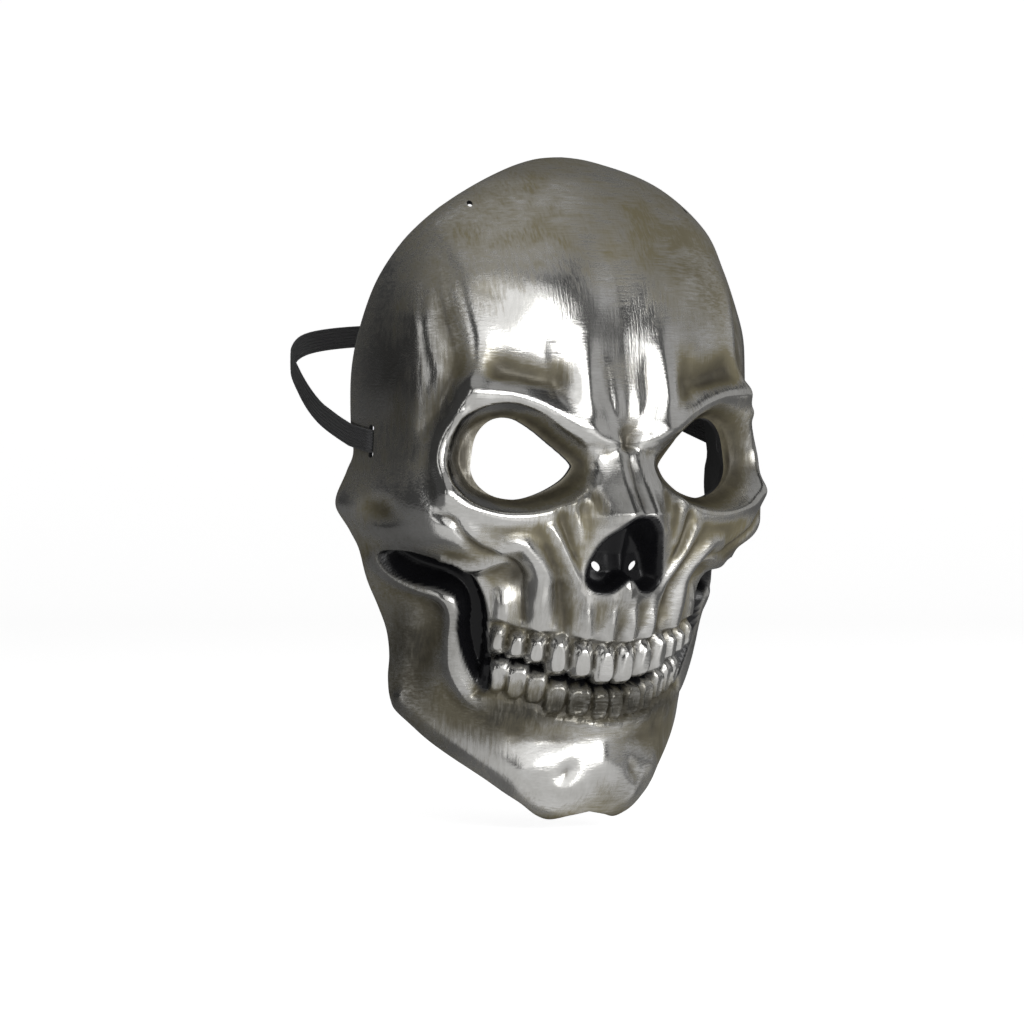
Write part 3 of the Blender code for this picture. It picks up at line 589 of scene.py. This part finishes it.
def cutOpenings(piece, inside):
    outlines = {name: (openingOutline(**values), values["front"], values["back"])
                for name, values in openings.items()}
    outlines["eye"] = smoothPath(eye, closed=True, steps=eyeCut["steps"]).T, eyeCut["front"], eyeCut["back"]
    tools = []
    for name, (outline, front, back) in outlines.items():
        for side, label in ((1, "Left"), (-1, "Right")):
            placed = np.array(outline) * [[side], [1]]
            middle = placed.mean(axis=1)
            facing = headNormal(middle[0], middle[1])
            tools.append(openingCutter(name + label, placed, facing, front, back))
    deselectAll()
    for tool in tools:
        tool.select_set(True)
        tool.data.materials.append(inside)
    bpy.context.view_layer.objects.active = tools[0]
    bpy.ops.object.join()
    cutters = bpy.context.object
    cut = piece.modifiers.new("openings", "BOOLEAN")
    cut.operation, cut.solver, cut.object = "DIFFERENCE", "EXACT", cutters
    cut.material_mode = "TRANSFER"
    applyModifiers(piece)
    bpy.data.objects.remove(cutters, do_unlink=True)


# Paint: where black shows in the recesses, how hollow and how raised each place is.
paint = dict(wash=.82, hollowReach=(2, 6), hollowDepth=(.4, 1.3), hollowBlur=(1, 3), jawEdge=(-1.7, -.6),
             noseEdge=(-1.5, -.6), gapTop=-.9, gapFloor=-1.8, mouthMargin=5, allBlackFrom=.97)

# Where the olive wash was rubbed off again, and where dark wax and painted shade were left: across, height,
# reach across and up, how much olive and how much of the dark wax and painted shade are added there. The
# rubbed patches are real wear, set larger on the highlights of the lit near half, so partly painted
# highlight; the dark patches are partly real wax and partly painted shade and dark reflection on the temples,
# the jaw plates, under the cheek arches, in the brow valleys and on the far half.
washesAndShade = table(
    "across height reachAcross reachUp olive soot",
    (-24, 46, 24, 20, -1.1, 0), (6, 42, 9, 20, -.5, 0), (24, 44, 14, 14, -.35, .1),
    (-12, 16, 9, 13, -1, 0), (-34, 17, 18, 4, -.6, 0), (9, 20, 8, 14, -.8, 0), (-46, 20, 16, 5, -.8, 0),
    (42, 20, 16, 5, -.4, 0), (-34, 29, 18, 7, .6, .25), (34, 29, 18, 7, .5, .25),
    (-58, -20, 18, 13, -1.3, -.2), (60, -20, 16, 10, -.5, 0), (-66, 2, 6, 16, -.8, 0),
    (66, 2, 5, 14, -.4, .1), (-56, 0, 7, 14, -.9, 0), (36, -10, 30, 20, .2, .2),
    (-30, -24, 22, 4, .2, .3), (0, -14, 9, 20, -1, 0), (-12, -18, 4, 12, 0, .35), (13, -18, 5, 12, 0, .3),
    (0, -62, 40, 12, -.4, .35), (0, -76, 40, 5, -.6, 0), (-38, -56, 10, 18, -.9, 0),
    (38, -56, 8, 16, -.5, 0), (-22, -128, 26, 14, -1.1, 0), (20, -126, 14, 14, -.3, .35),
    (0, -86, 60, 8, -1, 0), (-68, -62, 8, 8, -.6, 0), (-95, -34, 22, 5, -.5, 0),
    (-55, -118, 24, 8, -.6, 0), (-68, 44, 8, 26, -.2, .35), (68, 44, 8, 26, -.2, .3),
    (-92, 24, 24, 44, -.6, .6), (92, 24, 24, 44, -.4, .4), (-84, -82, 20, 30, 0, .9),
    (84, -82, 20, 30, 0, .9), (-80, -44, 26, 7, 0, .5), (80, -44, 26, 7, 0, .5),
    (0, -103, 52, 8, .2, 1.1), (32, 66, 26, 24, .3, .35), (70, 10, 14, 40, .1, .3),
    (10, -140, 14, 8, .2, .3), (42, -118, 16, 14, .3, .5), (-52, -112, 20, 12, .2, .4),
    (-40, -112, 12, 7, .3, .3),
)


def softened(values, reach):
    # an even average over a square of neighbours, twice
    for _ in range(2):
        for axis in (0, 1):
            margins = [(reach + 1, reach) if k == axis else (0, 0) for k in (0, 1)]
            padded = np.pad(values, margins, mode="edge")
            total = np.cumsum(padded, axis=axis)
            size = 2 * reach + 1
            first = [slice(None)] * 2
            last = [slice(None)] * 2
            first[axis], last[axis] = slice(0, -size), slice(size, None)
            values = (total[tuple(last)] - total[tuple(first)]) / size
    return values


def paintMasks(across, height, rise):
    away = np.abs(across)
    black = ease(*paint["jawEdge"], depthIn(away, height, jawHollow))
    black = np.maximum(black, ease(*paint["noseEdge"], depthIn(across, height, mirrored(noseHollow))))
    inMouth = np.minimum(read(upperTeeth, "gum", "across", away) - height,
                         height - read(lowerTeeth, "gum", "across", away))
    inMouth = np.minimum(inMouth, mouthShape["corner"] - away)
    gap = ease(paint["gapTop"], paint["gapFloor"], rise) * (inMouth > paint["mouthMargin"])
    black = np.maximum(black, gap)
    grid = (shell["rows"] + 1, shell["columns"] + 1)
    rise = rise.reshape(grid)
    hollow, raised = np.zeros(grid), np.zeros(grid)
    for reach, depth, blur in zip(paint["hollowReach"], paint["hollowDepth"], paint["hollowBlur"]):
        off = softened(rise, reach) - rise
        hollow = np.maximum(hollow, softened(np.clip(off / depth, 0, 1), blur))
        raised = np.maximum(raised, softened(np.clip(-off / depth, 0, 1), 1))
    olive, soot = np.full(len(across), paint["wash"]), np.zeros(len(across))
    # olive rubbed clean where highlights fall (partly painted highlight), dark wax laid on with painted shade
    for fromAcross, fromHeight, reachAcross, reachUp, addOlive, addWaxAndShade in zip(*washesAndShade.values()):
        nearness = np.exp(-((across - fromAcross) / reachAcross)**2 - ((height - fromHeight) / reachUp)**2)
        olive += addOlive * nearness
        soot += addWaxAndShade * nearness
    return dict(blackPaint=black, hollow=hollow.ravel(), raised=raised.ravel(), olive=np.clip(olive, 0, 1),
                soot=np.clip(soot, 0, 1))


def giveMasks(piece, places, masks):
    # each vertex takes the values of the place nearest to it on the outer skin
    tree = kdtree.KDTree(len(places))
    for i, place in enumerate(places):
        tree.insert(place, i)
    tree.balance()
    near = np.array([tree.find(vertex.co)[1] for vertex in piece.data.vertices])
    for name, values in masks.items():
        layer = piece.data.attributes.new(name, "FLOAT", "POINT")
        layer.data.foreach_set("value", values[near])
    blackened = masks["blackPaint"][near]
    for face in piece.data.polygons:
        if face.material_index == 0 and min(blackened[i] for i in face.vertices) > paint["allBlackFrom"]:
            face.material_index = 2


# Materials.
def newMaterial(name):
    made = bpy.data.materials.new(name)
    made.use_nodes = True
    return made, made.node_tree.nodes, made.node_tree.links, made.node_tree.nodes["Principled BSDF"]


def mixColours(nodes, links, amount, first, second):
    mix = nodes.new("ShaderNodeMix")
    mix.data_type = "RGBA"
    for socket, value in ((0, amount), (6, first), (7, second)):
        put(links, value, mix.inputs[socket])
    return mix.outputs[2]


def mixValues(nodes, links, amount, first, second):
    mix = nodes.new("ShaderNodeMix")
    mix.data_type = "FLOAT"
    for socket, value in ((0, amount), (2, first), (3, second)):
        put(links, value, mix.inputs[socket])
    return mix.outputs[0]


def calculate(nodes, links, operation, first, second=0.0, clamp=False):
    step = nodes.new("ShaderNodeMath")
    step.operation, step.use_clamp = operation, clamp
    put(links, first, step.inputs[0])
    put(links, second, step.inputs[1])
    return step.outputs[0]


def put(links, value, socket):
    if isinstance(value, bpy.types.NodeSocket):
        links.new(value, socket)
    elif isinstance(value, (tuple, list)):
        socket.default_value = (*value, 1) if len(value) == 3 and len(socket.default_value) == 4 else value
    else:
        socket.default_value = value


def attribute(nodes, name):
    node = nodes.new("ShaderNodeAttribute")
    node.attribute_name = name
    return node.outputs["Fac"]


def span(nodes, links, value, low, high, start=0.0, end=1.0):
    ramp = nodes.new("ShaderNodeMapRange")
    for socket, number in ((0, value), (1, low), (2, high), (3, start), (4, end)):
        put(links, number, ramp.inputs[socket])
    return ramp.outputs[0]


def newGroup(name, inputs, outputs):
    group = bpy.data.node_groups.new(name, "ShaderNodeTree")
    for label, kind, value in inputs:
        socket = group.interface.new_socket(label, in_out="INPUT", socket_type=kind)
        if value is not None:
            socket.default_value = value
    for label, kind in outputs:
        group.interface.new_socket(label, in_out="OUTPUT", socket_type=kind)
    given, result = group.nodes.new("NodeGroupInput"), group.nodes.new("NodeGroupOutput")
    return group, group.nodes, group.links, given, result


def place(nodes, group, values=()):
    node = nodes.new("ShaderNodeGroup")
    node.node_tree = group
    for name, value in dict(values).items():
        node.inputs[name].default_value = value
    return node


def noise(nodes, links, vector, scale, detail=4, roughness=.55, distortion=0):
    made = nodes.new("ShaderNodeTexNoise")
    put(links, vector, made.inputs["Vector"])
    for name, value in (("Scale", scale), ("Detail", detail), ("Roughness", roughness),
                        ("Distortion", distortion)):
        put(links, value, made.inputs[name])
    return made.outputs["Fac"]


def addBump(nodes, links, shader, height, strength, distance):
    bump = nodes.new("ShaderNodeBump")
    bump.inputs["Strength"].default_value = strength
    bump.inputs["Distance"].default_value = distance
    links.new(height, bump.inputs["Height"])
    links.new(bump.outputs[0], shader.inputs["Normal"])


def brushGroup():
    # fine strokes of a dry brush: noise drawn out along one direction, turned as asked
    group, nodes, links, given, result = newGroup(
        "brushStrokes", (("Vector", "NodeSocketVector", None), ("Turn", "NodeSocketVector", (0, 0, 0)),
                         ("Stroke", "NodeSocketVector", (1, 1, 1)), ("Scale", "NodeSocketFloat", 900.0)),
        (("Strokes", "NodeSocketFloat"),))
    turned = nodes.new("ShaderNodeMapping")
    turned.vector_type = "POINT"
    links.new(given.outputs["Vector"], turned.inputs["Vector"])
    links.new(given.outputs["Turn"], turned.inputs["Rotation"])
    links.new(given.outputs["Stroke"], turned.inputs["Scale"])
    fine = noise(nodes, links, turned.outputs[0], given.outputs["Scale"], detail=3, roughness=.6)
    links.new(span(nodes, links, fine, .35, .65), result.inputs["Strokes"])
    return group


def grainGroup():
    # unevenness of a sprayed or moulded surface at two sizes
    group, nodes, links, given, result = newGroup(
        "surfaceGrain", (("Vector", "NodeSocketVector", None), ("Coarse", "NodeSocketFloat", 60.0),
                         ("Fine", "NodeSocketFloat", 900.0), ("Fine share", "NodeSocketFloat", .3)),
        (("Grain", "NodeSocketFloat"),))
    coarse = noise(nodes, links, given.outputs["Vector"], given.outputs["Coarse"], detail=2)
    fine = noise(nodes, links, given.outputs["Vector"], given.outputs["Fine"], detail=3)
    links.new(mixValues(nodes, links, given.outputs["Fine share"], coarse, fine), result.inputs["Grain"])
    return group


brushStrokes = brushGroup()
surfaceGrain = grainGroup()


def grainAt(nodes, links, where, coarse, fine, fineShare):
    grain = place(nodes, surfaceGrain, {"Coarse": coarse, "Fine": fine, "Fine share": fineShare})
    links.new(where, grain.inputs["Vector"])
    return grain.outputs[0]


# The dark wax colour is also laid on as painted shade, and the umber also as painted shade in the creases.
silver = dict(bright=(.72, .715, .70), dull=(.42, .41, .38), olive=(.165, .135, .05), soot=(.04, .036, .026),
              umberAndShade=(.05, .043, .03), black=(.006, .006, .007), roughness=.14, dullRoughness=.26,
              oliveRoughness=.42, blackRoughness=.2, rubbed=(.38, .64), patchy=(.3, .7), oliveMost=.85)
grainBump = dict(strength=.3, distance=.0004)


def agedSilver():
    made, nodes, links, shader = newMaterial("agedSilver")
    where = nodes.new("ShaderNodeTexCoord").outputs["Object"]
    cloudy = noise(nodes, links, where, 24, detail=5, roughness=.62, distortion=.5)
    patches = noise(nodes, links, where, 75, detail=6, roughness=.68)
    across = place(nodes, brushStrokes, dict(Turn=(0, .35, .1), Stroke=(.07, .5, 1), Scale=1300))
    upward = place(nodes, brushStrokes, dict(Turn=(.2, -.3, .1), Stroke=(1, .5, .09), Scale=1000))
    for strokes in (across, upward):
        links.new(where, strokes.inputs["Vector"])
    whichWay = span(nodes, links, cloudy, .44, .56)
    strokes = mixValues(nodes, links, whichWay, across.outputs[0], upward.outputs[0])
    hollow, raised = attribute(nodes, "hollow"), attribute(nodes, "raised")
    olive, soot, black = (attribute(nodes, name) for name in ("olive", "soot", "blackPaint"))
    # silver: brighter where rubbed, duller in patches and along the strokes
    rubbed = [span(nodes, links, spots, *silver["rubbed"]) for spots in (cloudy, patches)]
    worn = mixValues(nodes, links, .4, *rubbed)
    worn = mixValues(nodes, links, .25, worn, strokes)
    dull = calculate(nodes, links, "MULTIPLY", worn, .75)
    colour = mixColours(nodes, links, dull, silver["bright"], silver["dull"])
    rough = mixValues(nodes, links, dull, silver["roughness"], silver["dullRoughness"])
    # olive wash left by the brush, more of it in the hollows, none on what is raised
    patchy = [span(nodes, links, spots, *silver["patchy"]) for spots in (cloudy, patches)]
    left = mixValues(nodes, links, .45, *patchy)
    left = mixValues(nodes, links, .3, left, strokes)
    amount = calculate(nodes, links, "ADD", olive, calculate(nodes, links, "MULTIPLY", hollow, .75))
    amount = calculate(nodes, links, "SUBTRACT", amount, calculate(nodes, links, "MULTIPLY", raised, .5))
    amount = calculate(nodes, links, "ADD", amount, calculate(nodes, links, "SUBTRACT", left, .5))
    wash = span(nodes, links, amount, .3, 1.05, 0.0, silver["oliveMost"])
    colour = mixColours(nodes, links, wash, colour, silver["olive"])
    rough = mixValues(nodes, links, wash, rough, silver["oliveRoughness"])
    # dark wax and painted shade, thicker in patches: partly the real wax, partly painted shade and dark
    # reflection on the temples, the jaw plates, under the cheek arches and in the brow valleys
    waxedAndShaded = calculate(nodes, links, "MULTIPLY", soot, span(nodes, links, left, .2, .8, .7, 1.25), clamp=True)
    colour = mixColours(nodes, links, waxedAndShaded, colour, silver["soot"])
    # dark umber in the creases: the real patina settled there, deepened as painted shade in the creases and
    # hollows
    settledAndShaded = span(nodes, links, hollow, .2, .85, 0.0, .92)
    thicker = span(nodes, links, patches, .3, .6, .5, 1.0)
    umberAndShade = calculate(nodes, links, "MULTIPLY", settledAndShaded, thicker, clamp=True)
    colour = mixColours(nodes, links, umberAndShade, colour, silver["umberAndShade"])
    colour = mixColours(nodes, links, black, colour, silver["black"])
    links.new(colour, shader.inputs["Base Color"])
    metal = mixValues(nodes, links, wash, 1.0, .15)
    links.new(mixValues(nodes, links, black, metal, 0.0), shader.inputs["Metallic"])
    links.new(mixValues(nodes, links, black, rough, silver["blackRoughness"]), shader.inputs["Roughness"])
    grain = grainAt(nodes, links, where, 120, 1500, .3)
    addBump(nodes, links, shader, mixValues(nodes, links, .25, grain, strokes), **grainBump)
    return made


# The recesses are a deep glossy black, the moulded inside a duller one.
blacks = dict(
    recessBlack=dict(grain=(110, 1500, .3), dark=(.004, .004, .005), pale=(.009, .009, .010),
                     roughness=(.16, .26), ior=1.3),
    blackPlastic=dict(grain=(90, 1400, .45), dark=(.016, .016, .017), pale=(.034, .034, .035),
                      roughness=(.3, .46), ior=1.5),
)


def plainBlack(name):
    made, nodes, links, shader = newMaterial(name)
    values = blacks[name]
    where = nodes.new("ShaderNodeTexCoord").outputs["Object"]
    grain = grainAt(nodes, links, where, *values["grain"])
    links.new(mixColours(nodes, links, grain, values["dark"], values["pale"]), shader.inputs["Base Color"])
    links.new(span(nodes, links, grain, .3, .7, *values["roughness"]), shader.inputs["Roughness"])
    shader.inputs["IOR"].default_value = values["ior"]
    addBump(nodes, links, shader, grain, **grainBump)
    return made


insideBlack = plainBlack("blackPlastic")
maskShell, (placeAcross, placeHeight, placeRise) = shellSkins()
for finish in (agedSilver(), insideBlack, plainBlack("recessBlack")):
    maskShell.data.materials.append(finish)
outerPlaces = vertexPlaces(maskShell)[:len(placeRise)].copy()
print("shell skins joined")
cutOpenings(maskShell, insideBlack)
giveMasks(maskShell, outerPlaces, paintMasks(placeAcross, placeHeight, placeRise))
selectOnly(maskShell)
bpy.ops.object.shade_smooth_by_angle(angle=np.radians(shell["smoothAngle"]))
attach(maskShell, "root")
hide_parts("mask_shell")
print("shell:", len(maskShell.data.vertices), "vertices")

# The strap: a ribbed elastic band through both slots, knotted inside and round the back of the head.
strap = dict(width=9, thickness=1.15, gap=.4, ribs=7, ribHeight=.34, flatness=(.9, .42), smoothAngle=60,
             knotAt=94, knotWidth=10.5, knotThickness=6, knotLength=9, ringPoints=112, rings=420,
             climb=((0, 1.2, 9.7), (0, .3, 2.6)),
             behind=((85.5, 93, 13), (80, 118, 25), (67, 146, 36), (43, 168, 43), (0, 179, 46)))


def strapRoute():
    # starts in the knot, turns out through the slot and lies back over the cut edge, round to the middle
    slot = openings["strapSlot"]
    slotAt, slotHeight = slot["at"]
    bend = slot["size"][0] / 2
    wall = shell["wall"]
    turnIn, turnOut = slotAt - bend, slotAt + bend
    knotOff = -wall - strap["knotThickness"] / 2 - strap["gap"]
    beside = [(strap["knotAt"] + k * strap["knotLength"] / 2, knotOff) for k in (-1, -.7, 0, .7, 1)]
    beside += [(turnIn - 2.5, -wall - bend - 1.2)]
    for turn in np.radians((-90, -60, -30, 0)):
        beside.append((turnIn + bend * np.cos(turn), -wall + bend * np.sin(turn)))
    for turn in np.radians((180, 150, 120, 90)):
        beside.append((turnOut + bend * np.cos(turn), bend * np.sin(turn)))
    beside += [(turnOut + 4, bend), (turnOut + 8.5, bend)]
    across, off = np.array(beside).T
    height = slotHeight + np.interp(across - slotAt, *strap["climb"])
    lift = relief(across, height) + off
    onShell = headForm(across, height) + headNormal(across, height) * lift[:, None]
    pastMiddle = np.array(strap["behind"][-2]) * (-1, 1, 1)
    behind = smoothPath([onShell[-2], onShell[-1], *strap["behind"], pastMiddle], steps=8)[9:-8]
    route = np.concatenate([onShell, behind])
    width = np.full(len(route), float(strap["width"]))
    thickness = np.full(len(route), strap["thickness"])
    width[:5] = strap["knotWidth"] * np.array((.55, .9, 1, .9, .75))
    thickness[:5] = strap["knotThickness"] * np.array((.45, .85, 1, .8, .4))
    return route, width, thickness


def strapBand():
    route, width, thickness = strapRoute()
    mirror = np.array([-1, 1, 1])
    route = np.concatenate([route, (route * mirror)[-2::-1]])
    knot = np.clip((thickness - strap["thickness"]) / (strap["knotThickness"] - strap["thickness"]), 0, 1)
    width, thickness, knot = (np.concatenate([v, v[-2::-1]]) for v in (width, thickness, knot))
    run = np.concatenate([[0], np.cumsum(np.linalg.norm(np.diff(route, axis=0), axis=1))])
    band, a, b = plainGrid("elasticStrap", strap["rings"], strap["ringPoints"])
    at = a * run[-1]

    def onRoute(past):
        spot = np.clip(at + past, 0, run[-1])
        return np.stack([np.interp(spot, run, route[:, i]) for i in range(3)], -1)

    middle, ahead, before = onRoute(0), onRoute(.6), onRoute(-.6)
    forward = ahead - before
    forward /= np.linalg.norm(forward, axis=1, keepdims=True)
    up = np.array([0, 0, 1.0]) - forward * forward[:, 2:]
    up /= np.linalg.norm(up, axis=1, keepdims=True)
    out = np.cross(forward, up)
    wide, thick, inKnot = (np.interp(at, run, v) for v in (width, thickness, knot))
    turn = b * 2 * np.pi
    # a flat section with round ends; its two broad sides carry the ribs
    u, v = (np.sign(wave) * np.abs(wave)**power
            for wave, power in zip((np.cos(turn), np.sin(turn)), strap["flatness"]))
    rib = strap["ribHeight"] * np.abs(np.sin(np.pi * strap["ribs"] * (u + 1) / 2))
    rib = rib * (1 - inKnot) * np.sign(v)
    off = v * thick / 2 + rib - strap["ribHeight"] / 2 * np.sign(v)
    places = middle + up * (u * wide / 2)[:, None] + out * off[:, None]
    moveVertices(band, (places - (0, browInside, 0)) * mm)

    def closeUp():
        bpy.ops.mesh.remove_doubles(threshold=1e-6)
        selectBoundary()
        bpy.ops.mesh.edge_face_add()
        facesOutwards()

    inEditMode(band, closeUp)
    print("strap length", round(run[-1]), "mm")
    return band


def wovenElastic():
    made, nodes, links, shader = newMaterial("wovenElastic")
    uv = nodes.new("ShaderNodeTexCoord").outputs["UV"]
    stretched = nodes.new("ShaderNodeMapping")
    stretched.inputs["Scale"].default_value = (560, 56, 1)
    links.new(uv, stretched.inputs["Vector"])
    threads = nodes.new("ShaderNodeTexWave")
    threads.wave_type, threads.bands_direction = "BANDS", "DIAGONAL"
    for name, value in (("Scale", .5), ("Distortion", .6), ("Detail", 2), ("Detail Scale", 1.5)):
        threads.inputs[name].default_value = value
    links.new(stretched.outputs[0], threads.inputs["Vector"])
    colour = mixColours(nodes, links, threads.outputs["Fac"], (.008, .008, .009), (.045, .045, .048))
    links.new(colour, shader.inputs["Base Color"])
    links.new(span(nodes, links, threads.outputs["Fac"], 0, 1, .7, .45), shader.inputs["Roughness"])
    shader.inputs["Sheen Weight"].default_value = .25
    addBump(nodes, links, shader, threads.outputs["Fac"], strength=.6, distance=.0003)
    return made


elasticStrap = strapBand()
elasticStrap.data.materials.append(wovenElastic())
selectOnly(elasticStrap)
bpy.ops.object.shade_smooth_by_angle(angle=np.radians(strap["smoothAngle"]))
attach(elasticStrap, "root")
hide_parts("elastic_strap")

# The studio: a pale sweep behind and below, soft boxes round the mask.
sweep = dict(floorHeight=-.1535, halfWidth=5, front=-3.4, back=3.2, top=4, bend=1.2, steps=24, seenGlow=.86,
             mirroredGlow=.06)
lights = (
    dict(name="keyBox", shape="ELLIPSE", turn=-38, rise=5, away=1.6, size=(1.25, 1.15), glow=2.5),
    dict(name="wideBox", turn=-20, rise=4, away=1.75, size=(2.2, 2.3), glow=1.1),
    dict(name="lowCard", turn=4, rise=-23, away=.36, size=(.75, .5), glow=.52, flat=True),
    dict(name="lowFarCard", turn=-55, rise=-15, away=.55, size=(.5, .6), glow=.4, flat=True),
    dict(name="nearStrip", turn=42, rise=4, away=1.5, size=(.4, 1.4), glow=.95),
    dict(name="farSidePanel", turn=-105, rise=0, away=1.6, size=(1.8, 2.4), glow=.4),
    dict(name="topPanel", turn=-20, rise=72, away=1.6, size=(2, 1.6), glow=.34),
)
lightCentre = (0, .04, -.01)
worldGrey = .06  # what the paint mirrors
worldSeen = .9  # what shows beyond the sweep


def studioSweep():
    floor, a, b = plainGrid("paleSweep", 2, sweep["steps"])
    t = b * sweep["steps"]
    bend, turns = sweep["bend"], sweep["steps"] - 2
    angle = np.clip((t - 1) / turns, 0, 1) * np.pi / 2
    y = np.where(t < .5, sweep["front"], sweep["back"] - bend + bend * np.sin(angle))
    z = sweep["floorHeight"] + bend - bend * np.cos(angle)
    z = np.where(t > sweep["steps"] - .5, sweep["top"], z)
    turned = np.radians(viewpoint["turn"])
    x = (2 * a - 1) * sweep["halfWidth"]
    moveVertices(floor, np.stack([x * np.cos(turned) + y * np.sin(turned),
                                  y * np.cos(turned) - x * np.sin(turned), z], -1))
    bpy.ops.object.shade_smooth()
    made, nodes, links, shader = newMaterial("palePaper")
    where = nodes.new("ShaderNodeTexCoord").outputs["Object"]
    grain = grainAt(nodes, links, where, 3, 60, .2)
    seen = nodes.new("ShaderNodeLightPath").outputs["Is Camera Ray"]
    pale = mixColours(nodes, links, grain, (.88, .88, .88), (.92, .92, .92))
    links.new(mixColours(nodes, links, seen, (.3, .3, .3), pale), shader.inputs["Base Color"])
    shader.inputs["Roughness"].default_value = .9
    shader.inputs["Emission Color"].default_value = (1, 1, 1, 1)
    glow = mixValues(nodes, links, seen, sweep["mirroredGlow"], sweep["seenGlow"])
    links.new(glow, shader.inputs["Emission Strength"])
    floor.data.materials.append(made)


def softBoxes():
    for light in lights:
        turn, rise = np.radians(viewpoint["turn"] + light["turn"]), np.radians(light["rise"])
        # turn is measured from the camera's side, the same way round
        out = np.array((-np.sin(turn) * np.cos(rise), -np.cos(turn) * np.cos(rise), np.sin(rise)))
        where = np.array(lightCentre) + out * light["away"]
        # a flat card lies on the floor and shines up
        facing = (0, 0, -1) if light.get("flat") else out.tolist()
        bpy.ops.object.light_add(type="AREA", location=where.tolist(),
                                 rotation=Vector(facing).to_track_quat("Z", "Y").to_euler())
        lamp = bpy.context.object
        lamp.name = light["name"]
        lamp.data.shape = light.get("shape", "RECTANGLE")
        lamp.data.size, lamp.data.size_y = light["size"]
        lamp.data.energy = np.pi * light["size"][0] * light["size"][1] * light["glow"]
        lamp.visible_camera = False
    world = bpy.data.worlds.new("studioGrey")
    bpy.context.scene.world = world
    world.use_nodes = True
    nodes, links = world.node_tree.nodes, world.node_tree.links
    seen = nodes.new("ShaderNodeLightPath").outputs["Is Camera Ray"]
    links.new(mixColours(nodes, links, seen, (worldGrey,) * 3, (worldSeen,) * 3),
              nodes["Background"].inputs["Color"])


studioSweep()
softBoxes()
bpy.context.scene.view_settings.view_transform = "Standard"
deselectAll()
print("studio lit")
